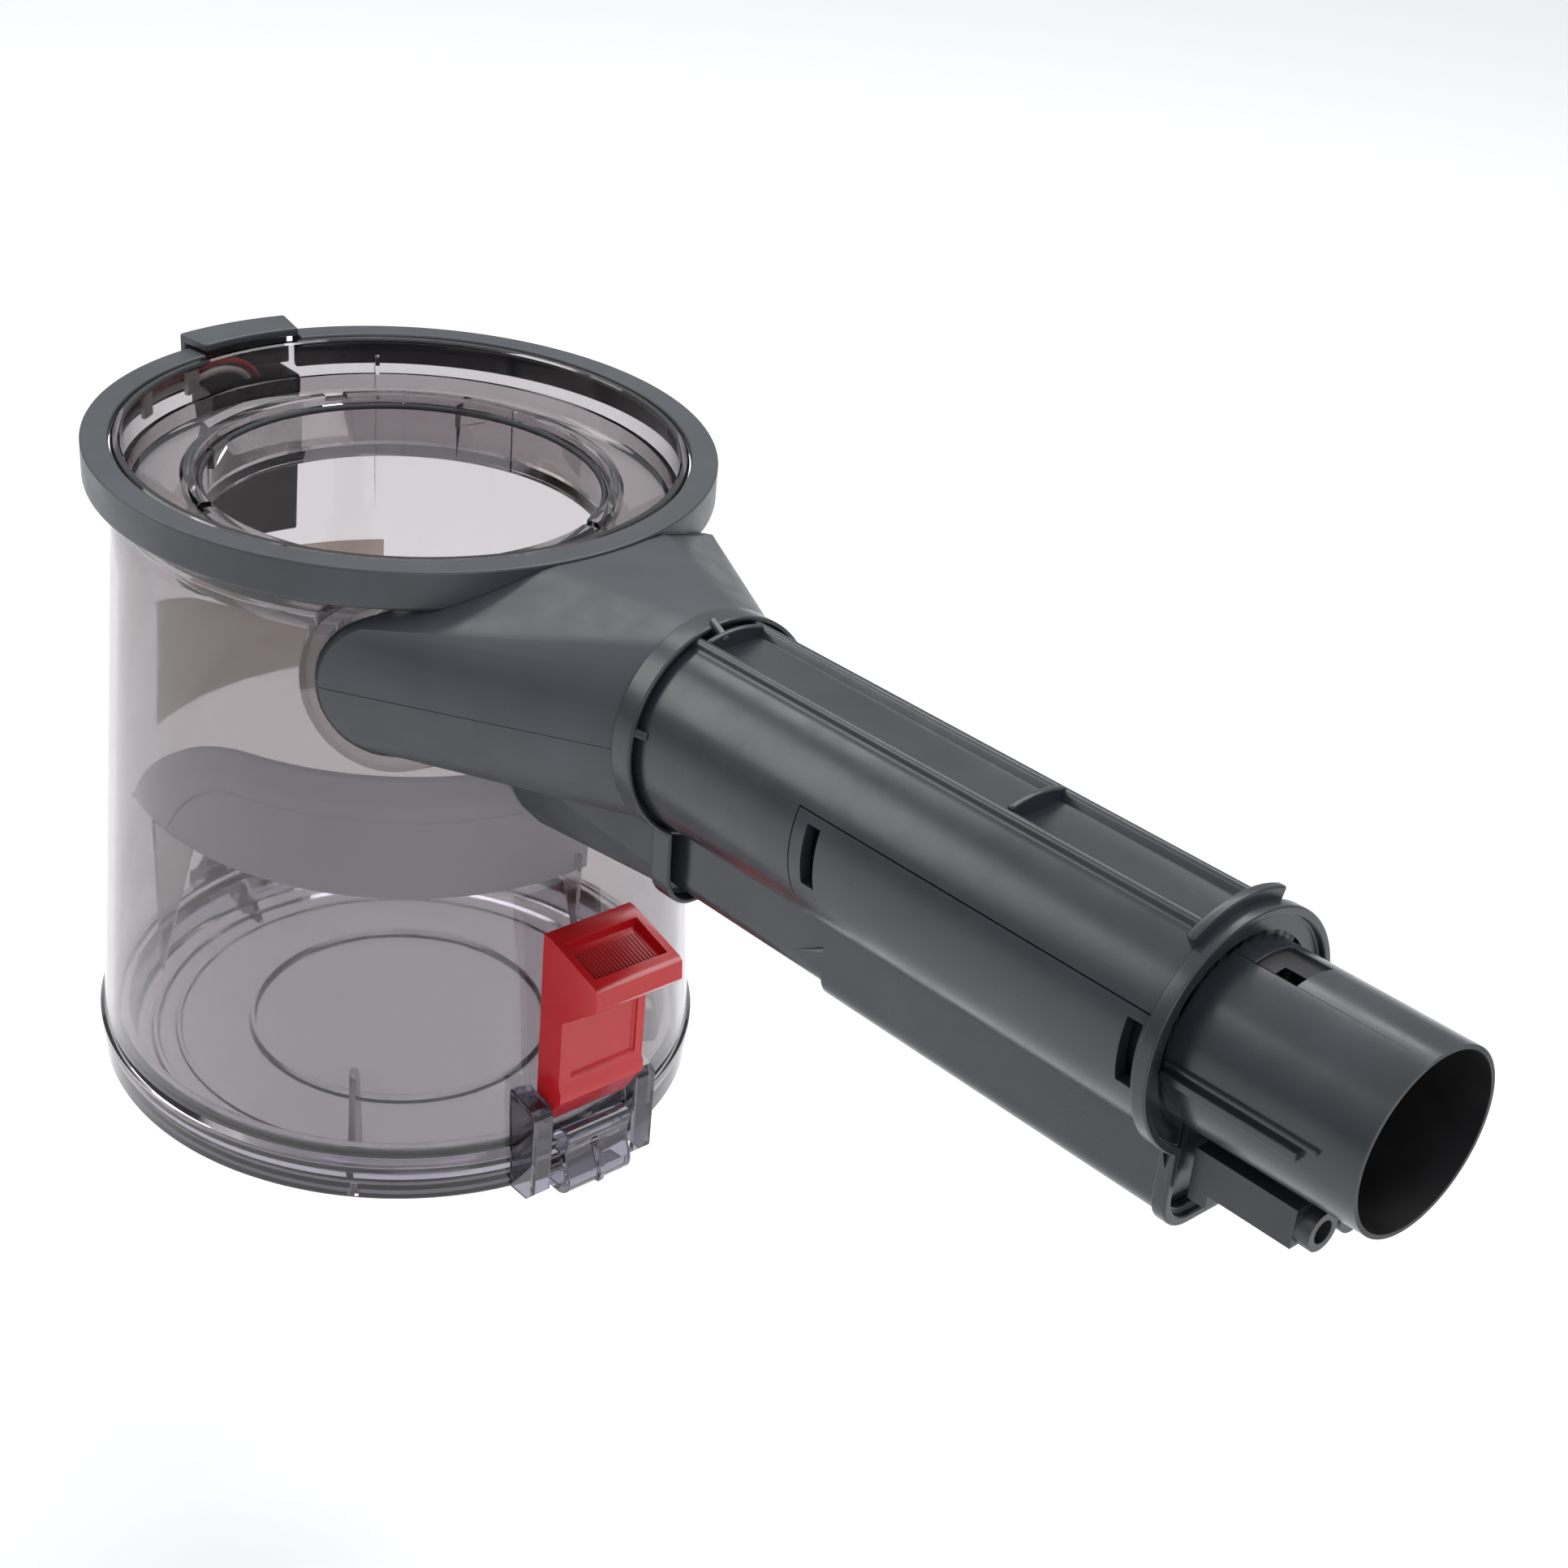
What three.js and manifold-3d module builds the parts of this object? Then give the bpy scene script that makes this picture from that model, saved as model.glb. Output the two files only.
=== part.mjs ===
// Dust bin of a cordless stick vacuum: clear bin with a hinged lid, slate collar, hood and inlet tube.
// Millimetres, +Z up. The origin is the centre of the lid's flat underside; the tube points along +X.
import * as THREE from 'three';
import { mergeVertices } from 'three/addons/utils/BufferGeometryUtils.js';
import { ConvexGeometry } from 'three/addons/geometries/ConvexGeometry.js';
import Module from 'manifold-3d';

const wasm = await Module();
wasm.setup();

// ---- Driving dimensions -------------------------------------------------------------------------
const gap = 0.3;                 // clearance between two pieces that meet
const through = 2;               // how far a cutting tool runs past the face it cuts

const binHeight = 154.3;         // lid underside to collar top
const binBaseRadius = 71.8;      // outside radius of the bin's cone, carried down to the lid underside
const binTaper = 0.0656;         // outside radius lost per millimetre of height
const binWall = 2;               // clear wall
const jointHeight = 8.3;         // where the bin wall meets the lid's rim

/** Outside radius of the bin's cone at a height. */
const binRadius = (z) => binBaseRadius - binTaper * z;

const collarOverhang = 6.322;    // how far the slate collar stands out from the bin's top
const collarRadius = binRadius(binHeight) + collarOverhang;
const collarHeight = 8.4;
const collarWall = 2;
const coverAngle = 11.5;         // half the angle that the rim cover takes at the back, degrees
const coverLugHeight = 2.2;      // how far the rim cover stands above the collar
const coverOverhang = 3.6;       // how far it stands out from the collar

const seatMargin = 21.6;         // collar's outside in to the cyclone seat's inner collar
const seatRadius = collarRadius - seatMargin;
const seatWall = 1.8;
const seatTop = binHeight - 7.8;       // top of that inner collar
const seatBottom = binHeight - 22.9;   // where the funnel joins it
const seatFlangeDrop = 12.5;     // collar top down to the funnel's outer edge
const seatNotch = { angles: [-95, 23], halfAngle: 3 };
const sealBead = 1.1;            // radius of the seat seal's round section

const boreRadius = 15.9;         // air way
const spigotWall = 1.5;
const spigotRadius = boreRadius + spigotWall;
const tubeWall = 2;
const tubeRoom = 2;              // space between the spigot tube and the outer tube
const tubeRadius = spigotRadius + tubeRoom + tubeWall;
const tubeSlope = 0.037;         // rise of the tube per millimetre of reach
const tubeStartHeight = binHeight - 24.9;   // tube axis height above the origin
const hoodLength = 40.3;         // collar out to the hood's flange
const tubeLength = 131.7;        // hood's flange to the end flange
const spigotLength = 38;         // end flange to the spigot's mouth
const tubeStart = collarRadius + hoodLength;
const tubeEnd = tubeStart + tubeLength;
const spigotEnd = tubeEnd + spigotLength;
const spigotInset = 12;          // length of spigot tube held inside the hood
const spigotRib = { start: 1, length: 29, height: 1.2, width: 2.2 };
const flangeThickness = 3.6;
const flangeRadius = tubeRadius + 1.8;
const endFlangeThickness = 3;
const lobeHalfWidth = 10.5;      // cable lobe under the tube
const lobeDepth = tubeRadius + 15.1;   // tube axis down to the lobe's lower face
const lobeCorner = 6;
const coverStart = tubeStart + 44.7;   // reach where the removable cable cover starts
const coverHeight = 9;           // split line above the tube axis
const coverLip = 3;              // length of the cover's lobe that fits under the end flange
const grooveWidth = 15;          // channel along the top of the tube
const grooveDepth = 2.6;
const ridgeWidth = 2.6;          // ridge on each side of that channel
const webStart = tubeStart + 81.7;     // cross web in the channel
const webThickness = 2;
const snapWindow = { length: 3.4, height: 12, inset: 3.4, endInset: 8 };

const hoodWall = 2.4;
const noseAngle = -36;           // where the hood's tangential nose is centred on the bin, degrees
const noseHeight = binHeight - 25.7;
const noseRadius = 15.5;
const keelFoot = tubeStartHeight - lobeDepth + 0.1;   // lower face of the hood's keel at the bin
const hoodSealWidth = 1.2;
const hoodSealBand = { low: binHeight - 54.3, high: binHeight - 8.3 };

const wireRadius = 0.9;
const wireChannelRadius = collarRadius - 3.4;   // where the wires run round, inside the collar
const wireUpper = binHeight - 3.4;
const wirePitch = 2.2;           // distance between the two wires
const wireDropAngle = 30;        // where the wires leave the collar, degrees
const wireFloor = 8;             // lobe's lower face up to the wires
const wireSteps = 90;
const clipHalfAngle = 1.4;

const lidThickness = 2.4;
const lidRadius = binBaseRadius - 0.4;
const lidSealWidth = 2.8;        // room for the lid's seal, from the bin wall in to the upstand
const lidUpstandRadius = binBaseRadius - binWall - lidSealWidth;
const lidUpstandWall = 2;
const lidUpstandHeight = jointHeight + 4.2;
const lidRingRadius = 36.2;
const lidRingHeight = 4.6;
const lidRingHalfWidth = 0.5;
const lidFinHalfThickness = 0.75;
const lidFins = [{ angle: -44, height: 30 }, { angle: 46, height: 12 }, { angle: 136, height: 12 },
  { angle: -173, height: 12 }];

const baffleWall = 1.6;
const baffleSet = 3.4;           // how far the baffle's band stands in from its rim
const baffleTop = binHeight - 49.3;
const baffleShoulder = baffleTop - 9;
const baffleBottom = baffleTop - 29.5;
const baffleArc = { from: -100, to: 6 };
const baffleFins = [{ angle: baffleArc.from + 1.5, drop: 37.5 }, { angle: baffleArc.to - 1.5, drop: 19.5 }];

const sliderWidth = 23.6;
const sliderFace = binBaseRadius + 7.2;   // reach of the slider's front face
const sliderBottom = jointHeight + 11.7;
const sliderTop = sliderBottom + 49;
const sliderTravel = 6;
const padReach = sliderFace + 11;
const thumbMargin = 2.6;         // rim left round the thumb recess
const railHalfWidth = 3.2;
const railBottom = sliderBottom + 10;
const railTop = sliderBottom + 34;
const springSeat = {
  x: sliderFace - 4.9, z: sliderBottom + 20, radius: 2.1, wire: 0.45, length: 16, turns: 5,
};
const earHeight = sliderBottom + 6.5;
const earWidth = 4.2;
const earWall = 1.4;
const earOuter = sliderWidth / 2 + gap + earWidth;
const catchMargin = 2.8;         // slider's edge in to the catch's edge
const catchWidth = sliderWidth - 2 * catchMargin;
const catchPivot = { x: binBaseRadius + 2.4, z: 2.6 };
const keeperMargin = 2;          // catch's edge in to the ledge's edge

const hingeReach = -binBaseRadius - 4.6;
const hingeHeight = jointHeight - 2.1;
const hingeRadius = 4;
const hingePinRadius = 1.5;
const hingeHalfWidth = 15;
const lidKnuckleHalfWidth = 8;
const knuckleTop = jointHeight + 11.7;

const spineHalfWidth = 12.2;
const spineBottom = binHeight - 48.8;
const spineDepth = 7.6;
const spineEdge = 2;             // chamfer along its outer corners
const spineScrews = [spineBottom + 6, spineBottom + 17];
const screwSize = { shank: 1.2, head: 2.4, headHeight: 2, length: 4, stand: 3.4, driverRoom: 8 };
const supply = { spread: 5, socketHalf: 2.4, contactHalf: 1.4, drop: 6, height: 10, depth: 4 };
const labelHeight = 34;
const labelTop = spineBottom - 4.5;
const labelThickness = 0.6;
const labelHalfAngle = 30;

const connector = {
  start: tubeEnd + 1.4, end: tubeEnd + 26, half: 8.4, top: -spigotRadius - 1, height: 9,
  shoulder: 4, head: 6, headDrop: 2.4, poleSpread: 4.2, bore: 2.2, boreDepth: 12, slotHalf: 1.4, slotDepth: 8,
};
const contactRadius = 1.6;
const contactInset = { inner: 11.4, outer: 2 };

const segments = 60;             // facets round the bin
const smallSegments = 28;        // facets round the tube and other small rounds
const pinSegments = 20;
const noseSegments = 16;
const boltSegments = 12;
const wide = 60;                 // wider than the tube and its lobe, for the tools that trim them

// ---- Materials ----------------------------------------------------------------------------------
function plastic(color, roughness, opacity = 1) {
  return new THREE.MeshStandardMaterial({
    color, roughness, metalness: 0, opacity, transparent: opacity < 1,
  });
}

function metal(color, roughness) {
  return new THREE.MeshStandardMaterial({ color, roughness, metalness: 1 });
}

const slate = () => plastic('#4d5154', 0.42);
const clear = () => plastic('#9a9594', 0.08, 0.4);
const black = () => plastic('#262527', 0.4);
const red = () => plastic('#c4242b', 0.3);
const rubber = () => plastic('#2b2b2e', 0.7);
const steel = () => metal('#b9bbbe', 0.3);
const brass = () => metal('#c9a24e', 0.3);

// ---- Solid helpers ------------------------------------------------------------------------------
const radians = THREE.MathUtils.degToRad;

function signedVolume(positions, triangles) {
  const a = new THREE.Vector3();
  const b = new THREE.Vector3();
  const c = new THREE.Vector3();
  let volume = 0;
  for (let i = 0; i < triangles.length; i += 3) {
    a.fromArray(positions, 3 * triangles[i]);
    b.fromArray(positions, 3 * triangles[i + 1]);
    c.fromArray(positions, 3 * triangles[i + 2]);
    volume += a.dot(b.cross(c));
  }
  return volume;
}

/** Turns a closed three.js geometry into a solid, with its faces pointing out. */
function solid(geometry) {
  geometry.deleteAttribute('normal');
  geometry.deleteAttribute('uv');
  const merged = mergeVertices(geometry, 1e-4);
  const positions = merged.getAttribute('position').array;
  const index = merged.getIndex().array;
  const triangles = [];
  for (let i = 0; i < index.length; i += 3) {
    const [a, b, c] = index.slice(i, i + 3);
    if (a !== b && b !== c && c !== a) triangles.push(a, b, c);
  }
  if (signedVolume(positions, triangles) < 0) triangles.reverse();
  return new wasm.Manifold(new wasm.Mesh({
    numProp: 3,
    vertProperties: new Float32Array(positions),
    triVerts: new Uint32Array(triangles),
  }));
}

function unite(...solids) {
  return solids.reduce((sum, next) => sum.add(next));
}

function cut(base, ...tools) {
  return tools.reduce((left, tool) => left.subtract(tool), base);
}

/** A box between two corners. */
function box(x0, x1, y0, y1, z0, z1) {
  const geometry = new THREE.BoxGeometry(x1 - x0, y1 - y0, z1 - z0);
  geometry.translate((x0 + x1) / 2, (y0 + y1) / 2, (z0 + z1) / 2);
  return solid(geometry);
}

/** A ring or a disc turned about the bin's axis from [radius, height] corners. */
function turned(corners, facets = segments) {
  const closed = corners.map(([r, z]) => new THREE.Vector2(r, z));
  const onAxis = corners[0][0] === 0 && corners.at(-1)[0] === 0;
  if (!onAxis) closed.push(closed[0].clone());
  const geometry = new THREE.LatheGeometry(closed, facets);
  geometry.rotateX(Math.PI / 2);
  return solid(geometry);
}

/** An outline of [x, y] corners pushed up from z0 to z1. */
function prism(corners, z0, z1) {
  const shape = new THREE.Shape(corners.map(([x, y]) => new THREE.Vector2(x, y)));
  const geometry = new THREE.ExtrudeGeometry(shape, { depth: z1 - z0, bevelEnabled: false });
  geometry.translate(0, 0, z0);
  return solid(geometry);
}

/** An outline of [x, z] corners as wide as y0 to y1. */
function sideProfile(corners, y0, y1) {
  const shape = new THREE.Shape(corners.map(([x, z]) => new THREE.Vector2(x, z)));
  const geometry = new THREE.ExtrudeGeometry(shape, { depth: y1 - y0, bevelEnabled: false });
  geometry.rotateX(Math.PI / 2);
  geometry.translate(0, y1, 0);
  return solid(geometry);
}

function hull(points) {
  return solid(new ConvexGeometry(points));
}

/** The wedge of space between two directions, seen from above, in degrees. */
function wedge(from, to, z0, z1, reach = 2 * binBaseRadius) {
  const steps = Math.ceil((to - from) / 30);
  const corners = [[0, 0]];
  for (let i = 0; i <= steps; i += 1) {
    const angle = radians(from + ((to - from) * i) / steps);
    corners.push([reach * Math.cos(angle), reach * Math.sin(angle)]);
  }
  return prism(corners, z0, z1);
}

/** A sleeve that follows the bin's cone, from one offset outside the wall to another. */
function coneSleeve(inner, outer, z0, z1) {
  return turned([
    [binRadius(z0) + inner, z0],
    [binRadius(z0) + outer, z0],
    [binRadius(z1) + outer, z1],
    [binRadius(z1) + inner, z1],
  ]);
}

function coneSolid(offset, z0, z1) {
  return turned([[0, z0], [binRadius(z0) + offset, z0], [binRadius(z1) + offset, z1], [0, z1]]);
}

function polar(radius, degrees, z) {
  const angle = radians(degrees);
  return new THREE.Vector3(radius * Math.cos(angle), radius * Math.sin(angle), z);
}

/** A round bar along a direction, with its middle at a point. */
function bar(radius, length, centre, direction, facets = smallSegments) {
  const geometry = new THREE.CylinderGeometry(radius, radius, length, facets);
  const turn = new THREE.Quaternion().setFromUnitVectors(new THREE.Vector3(0, 1, 0), direction);
  geometry.applyQuaternion(turn);
  geometry.translate(centre.x, centre.y, centre.z);
  return solid(geometry);
}

/** A round wire or tunnel that follows a curve. */
function swept(curve, radius, steps, sides) {
  const section = new THREE.Shape();
  for (let i = 0; i < sides; i += 1) {
    const angle = (2 * Math.PI * i) / sides;
    const x = radius * Math.cos(angle);
    const y = radius * Math.sin(angle);
    if (i === 0) section.moveTo(x, y);
    else section.lineTo(x, y);
  }
  return solid(new THREE.ExtrudeGeometry(section, { steps, extrudePath: curve }));
}

// ---- Tube frame: x along the tube's reach, y across, z up from its axis -------------------------
const axisHeight = (reach) => tubeStartHeight + tubeSlope * reach;
const tubePitch = Math.atan(tubeSlope);
const acrossTube = new THREE.Vector3(0, 1, 0);

/** Moves a shape built round the X axis onto the sloping tube axis. */
function onTube(geometry) {
  geometry.rotateY(-tubePitch);
  geometry.translate(0, 0, tubeStartHeight);
  return solid(geometry);
}

/** The outline of a tube section, [across, up] corners, pushed along the tube. */
function tubeProfile(corners, from, to) {
  const shape = new THREE.Shape(corners.map(([y, z]) => new THREE.Vector2(y, z)));
  const geometry = new THREE.ExtrudeGeometry(shape, { depth: to - from, bevelEnabled: false });
  geometry.rotateZ(Math.PI / 2);
  geometry.rotateY(Math.PI / 2);
  geometry.translate(from, 0, 0);
  return onTube(geometry);
}

function tubeRod(radius, from, to, facets = smallSegments) {
  const geometry = new THREE.CylinderGeometry(radius, radius, to - from, facets);
  geometry.rotateZ(-Math.PI / 2);
  geometry.translate((from + to) / 2, 0, 0);
  return onTube(geometry);
}

function tubeBox(from, to, y0, y1, z0, z1) {
  const geometry = new THREE.BoxGeometry(to - from, y1 - y0, z1 - z0);
  geometry.translate((from + to) / 2, (y0 + y1) / 2, (z0 + z1) / 2);
  return onTube(geometry);
}

/** The lobe under the tube, shrunk all round by an inset, from the tube axis down. */
function lobe(from, to, inset = 0) {
  const half = lobeHalfWidth - inset;
  const depth = lobeDepth - inset;
  const corner = lobeCorner - inset;
  const corners = [[half, 0], [-half, 0]];
  const steps = 4;
  for (const side of [-1, 1]) {
    for (let i = 0; i <= steps; i += 1) {
      const turn = (i / steps) * (Math.PI / 2);
      const angle = side < 0 ? turn : Math.PI / 2 - turn;
      const y = side * (half - corner + corner * Math.cos(angle));
      corners.push([y, -(depth - corner + corner * Math.sin(angle))]);
    }
  }
  return tubeProfile(corners, from, to);
}

/** The whole outline of the tube with its cable lobe. */
function lobedTube(radius, from, to, inset = 0) {
  return unite(tubeRod(radius - inset, from, to), lobe(from, to, inset));
}

// ---- Wires --------------------------------------------------------------------------------------
/** The run of one wire: out of the spine, round inside the collar, down the hood, along the tube. */
function wireRun(side) {
  const points = [];
  const height = wireUpper - wirePitch / 2 + (side * wirePitch) / 2;
  const spread = (side * wirePitch) / 2;
  const start = 1.15 * spread + 2;
  points.push(polar(wireChannelRadius + 2, 177, binHeight - 18).setY(start));
  points.push(polar(wireChannelRadius + 1, 177, binHeight - 10).setY(start));
  for (let angle = 184; angle <= 360 + wireDropAngle - 8; angle += 12) {
    points.push(polar(wireChannelRadius, angle, height));
  }
  const down = wireDropAngle;
  const turn = (spread / wireChannelRadius) * (180 / Math.PI);
  points.push(polar(wireChannelRadius + 0.2, down + turn, height - 7));
  const offWall = hoodWall + 0.2;
  const upper = binHeight - 29.3;
  const lower = binHeight - 42.3;
  points.push(polar(binRadius(upper) + offWall, down + 1.15 * turn, upper));
  points.push(polar(binRadius(lower) + offWall, down - 2 + turn, lower + 1 - 0.9 * spread));
  const low = (reach) => axisHeight(reach) - lobeDepth + wireFloor;
  const entry = tubeStart - 32.3;
  const inLobe = tubeStart - 16.3;
  points.push(new THREE.Vector3(entry, 15, low(entry) + 1 - 1.2 * spread));
  points.push(new THREE.Vector3(inLobe, 2, low(inLobe) - spread));
  for (let reach = tubeStart - 2.3; reach < tubeEnd - 4; reach += 26) {
    points.push(new THREE.Vector3(reach, 0, low(reach) - spread));
  }
  points.push(new THREE.Vector3(tubeEnd + 1, 0, low(tubeEnd + 1) - spread));
  return new THREE.CatmullRomCurve3(points, false, 'centripetal');
}

const redRun = wireRun(1);
const whiteRun = wireRun(-1);

function wireTunnels() {
  return [redRun, whiteRun].map((run) => swept(run, wireRadius + gap, wireSteps, 8));
}

// ---- Bin ----------------------------------------------------------------------------------------
/** The hood's outside, before the bin and collar are cut from it. */
function hoodOutside(inset = 0) {
  const points = [];
  const flangeEnd = tubeStart - gap;
  for (let i = 0; i < smallSegments; i += 1) {
    const angle = (2 * Math.PI * i) / smallSegments;
    const radius = tubeRadius + 1 - inset;
    points.push(new THREE.Vector3(
      flangeEnd - flangeThickness,
      radius * Math.sin(angle),
      axisHeight(flangeEnd) + radius * Math.cos(angle),
    ));
  }
  for (let i = 0; i < noseSegments; i += 1) {
    const angle = (2 * Math.PI * i) / noseSegments;
    const arc = noseAngle + ((noseRadius - inset) * Math.sin(angle) * 180) / (Math.PI * collarRadius);
    const height = noseHeight + (noseRadius - inset) * Math.cos(angle);
    points.push(polar(collarRadius - 4.5, arc - 1, height));
    points.push(polar(collarRadius + 1.2 - inset, arc, height));
  }
  const brow = binHeight - 1 - inset;
  for (const [angle, z] of [[-11, brow], [16, brow], [33, brow - 7], [33, tubeStartHeight - 19.4 + inset]]) {
    points.push(polar(collarRadius + 2.4 - inset, angle, z));
    points.push(polar(collarRadius - 8, angle, z));
  }
  return hull(points);
}

/** The lower part of the hood that carries the wires under the air way. */
function hoodKeel(inset = 0) {
  const flangeEnd = tubeStart - gap - flangeThickness;
  const half = lobeHalfWidth - inset;
  const root = collarRadius - 6;
  const shoulder = tubeStartHeight - 17.4;
  const points = [];
  for (const side of [-1, 1]) {
    points.push(new THREE.Vector3(flangeEnd, side * half, axisHeight(flangeEnd)));
    points.push(new THREE.Vector3(flangeEnd, side * half, axisHeight(flangeEnd) - lobeDepth + lobeCorner));
    points.push(new THREE.Vector3(flangeEnd, side * (half - 5), axisHeight(flangeEnd) - lobeDepth + inset));
    points.push(polar(root, side * (13 - inset), keelFoot + 5 + inset));
    points.push(polar(root, side * (9 - inset), keelFoot + inset));
  }
  points.push(polar(root, -19 + inset, shoulder));
  points.push(polar(root, 33 - inset, shoulder));
  points.push(polar(collarRadius + 2 - inset, 33 - inset, shoulder - 4 + inset));
  return hull(points);
}

/** The air way: from the spigot tube's end, sideways through the bin wall. */
function airWay(inset = 0) {
  const points = [];
  const start = tubeStart - spigotInset + gap;
  for (let i = 0; i < smallSegments; i += 1) {
    const angle = (2 * Math.PI * i) / smallSegments;
    const radius = boreRadius + 1.6 - inset;
    points.push(new THREE.Vector3(
      start,
      radius * Math.sin(angle),
      axisHeight(start) + radius * Math.cos(angle),
    ));
  }
  const reach = noseRadius - hoodWall - inset;
  for (let i = 0; i < noseSegments; i += 1) {
    const angle = (2 * Math.PI * i) / noseSegments;
    const arc = noseAngle + 2 + (reach * Math.sin(angle) * 180) / (Math.PI * collarRadius);
    points.push(polar(collarRadius - 10, arc, noseHeight + reach * Math.cos(angle)));
    points.push(polar(collarRadius - 1.5, arc, noseHeight + reach * Math.cos(angle)));
  }
  return hull(points);
}

/** Knuckles of the lid's hinge between two places along the pin. */
function knuckle(y0, y1, rootX, rootZ) {
  const centre = new THREE.Vector3(hingeReach, (y0 + y1) / 2, hingeHeight);
  const barrel = bar(hingeRadius, y1 - y0, centre, acrossTube, pinSegments + 4);
  const root = sideProfile([
    [hingeReach, hingeHeight - hingeRadius],
    [rootX, hingeHeight - hingeRadius],
    [rootX, rootZ],
    [hingeReach, Math.min(rootZ, hingeHeight + hingeRadius)],
  ], y0, y1);
  return unite(barrel, root);
}

function hingeBore() {
  const centre = new THREE.Vector3(hingeReach, 0, hingeHeight);
  return bar(hingePinRadius + gap, 3 * hingeHalfWidth, centre, acrossTube, pinSegments);
}

/** One guide that holds an edge of the release slider and shields the catch. */
function ear(side) {
  const inner = earOuter - earWidth;
  const y = [side * inner, side * earOuter].sort((a, b) => a - b);
  const depth = sliderFace - 1;
  const body = sideProfile([
    [binBaseRadius - 4, jointHeight + gap],
    [depth - 2, jointHeight + gap],
    [depth, jointHeight + 3],
    [depth, earHeight - 2],
    [depth - 2, earHeight],
    [binBaseRadius - 4, earHeight + 1],
  ], y[0], y[1]);
  const hollow = box(
    binBaseRadius + 1, depth - earWall,
    y[0] + earWall, y[1] - earWall,
    jointHeight - through, earHeight - earWall,
  );
  return cut(body, hollow);
}

/** The ledge on the bin that the catch's nose holds on to. */
function keeper() {
  return sideProfile([
    [binBaseRadius - 2.2, jointHeight + 0.9],
    [binBaseRadius + 1.8, jointHeight + 0.9],
    [binBaseRadius + 1.8, jointHeight + 2.5],
    [binBaseRadius - 2.2, jointHeight + 3.1],
  ], -catchWidth / 2 + keeperMargin, catchWidth / 2 - keeperMargin);
}

/** The rib on the bin that the slider runs on, with a seat for its spring. */
function sliderRail() {
  return sideProfile([
    [binRadius(railBottom) - 1, railBottom],
    [sliderFace - 6.4, railBottom],
    [sliderFace - 2.4, springSeat.z - 3],
    [sliderFace - 2.4, springSeat.z - 0.6],
    [sliderFace - 8.2, springSeat.z - 0.6],
    [binRadius(railTop) - 1, railTop],
  ], -railHalfWidth, railHalfWidth);
}

function makeBinShell() {
  const wall = coneSleeve(-binWall, 0, jointHeight, binHeight - gap);
  const foot = coneSleeve(-binWall, 0.8, jointHeight, jointHeight + 3);
  const ledgeTop = binHeight - seatFlangeDrop - 2;
  const ledgeRoot = binRadius(ledgeTop + 0.2) - binWall + 0.5;
  const seatLedge = turned([
    [ledgeRoot, ledgeTop - 3.4],
    [ledgeRoot, ledgeTop],
    [ledgeRoot - 1.4, ledgeTop - 0.6],
  ]);
  const knuckles = [-1, 1].map((side) => {
    const y = [side * (lidKnuckleHalfWidth + gap), side * hingeHalfWidth].sort((a, b) => a - b);
    return knuckle(y[0], y[1], -binBaseRadius + 2.4, knuckleTop);
  });
  const underKnuckles = box(hingeReach + hingeRadius, 0, -hingeHalfWidth, hingeHalfWidth, -1, jointHeight);
  const inside = coneSolid(-binWall, jointHeight - through, binHeight);
  const fittings = unite(ear(-1), ear(1), keeper(), sliderRail(), ...knuckles);
  const trimmed = cut(fittings, inside, underKnuckles, hingeBore());
  return cut(unite(wall, foot, seatLedge, trimmed), airWay());
}

// ---- Collar -------------------------------------------------------------------------------------
function makeTopCollar() {
  const low = binHeight - collarHeight;
  const inner = binRadius(binHeight) + gap + 0.1;
  const ring = turned([
    [collarRadius - collarWall, low],
    [collarRadius - 0.15, low],
    [collarRadius, low + 0.8],
    [collarRadius, binHeight - 1.2],
    [collarRadius - 1.2, binHeight],
    [inner, binHeight],
    [inner, binHeight - collarWall],
    [collarRadius - collarWall, binHeight - collarWall],
  ]);
  const back = wedge(180 - coverAngle, 180 + coverAngle, low - through, binHeight + through);
  return cut(ring, back);
}

function makeRimCover() {
  const low = binHeight - collarHeight;
  const top = binHeight + coverLugHeight;
  const inner = binRadius(low) + 2 * gap;
  const outer = collarRadius + coverOverhang;
  const block = turned([
    [outer - collarWall, low], [outer, low], [outer, top - 1], [outer - 1, top],
    [inner, top], [inner, top - collarWall], [outer - collarWall, top - collarWall],
  ]);
  const share = (gap / collarRadius) * (180 / Math.PI);
  const half = coverAngle - share;
  return block.intersect(wedge(180 - half, 180 + half, low - through, top + through));
}

// ---- Cyclone seat -------------------------------------------------------------------------------
function makeCycloneSeat() {
  const rimZ = binHeight - seatFlangeDrop;
  const rimRadius = binRadius(rimZ) - binWall - gap;
  const ring = turned([
    [seatRadius - seatWall, seatBottom],
    [seatRadius, seatBottom - 1],
    [rimRadius, rimZ - 1.6],
    [rimRadius, rimZ + 4],
    [rimRadius - 1.5, rimZ + 4],
    [rimRadius - 1.5, rimZ],
    [seatRadius + 0.6, seatBottom + 1.4],
    [seatRadius, seatBottom + 3],
    [seatRadius, seatTop - 3.4],
    [seatRadius + 1.4, seatTop - 2.8],
    [seatRadius + 1.4, seatTop - 0.6],
    [seatRadius + 0.8, seatTop],
    [seatRadius - seatWall, seatTop],
  ]);
  const { angles, halfAngle } = seatNotch;
  const notches = angles.map((angle) => (
    wedge(angle - halfAngle, angle + halfAngle, seatTop - seatWall - 0.2, seatTop + through)
  ));
  return cut(ring, ...notches);
}

function makeSeatSeal() {
  const radius = seatRadius - seatWall - gap - sealBead;
  const z = seatTop - 4.6;
  return turned(roundSection(radius, z, sealBead));
}

/** The six corners of a small round section. */
function roundSection(radius, z, size) {
  const corners = [];
  for (let i = 0; i < 6; i += 1) {
    const angle = radians(60 * i);
    corners.push([radius + size * Math.cos(angle), z + size * Math.sin(angle)]);
  }
  return corners;
}

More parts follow.
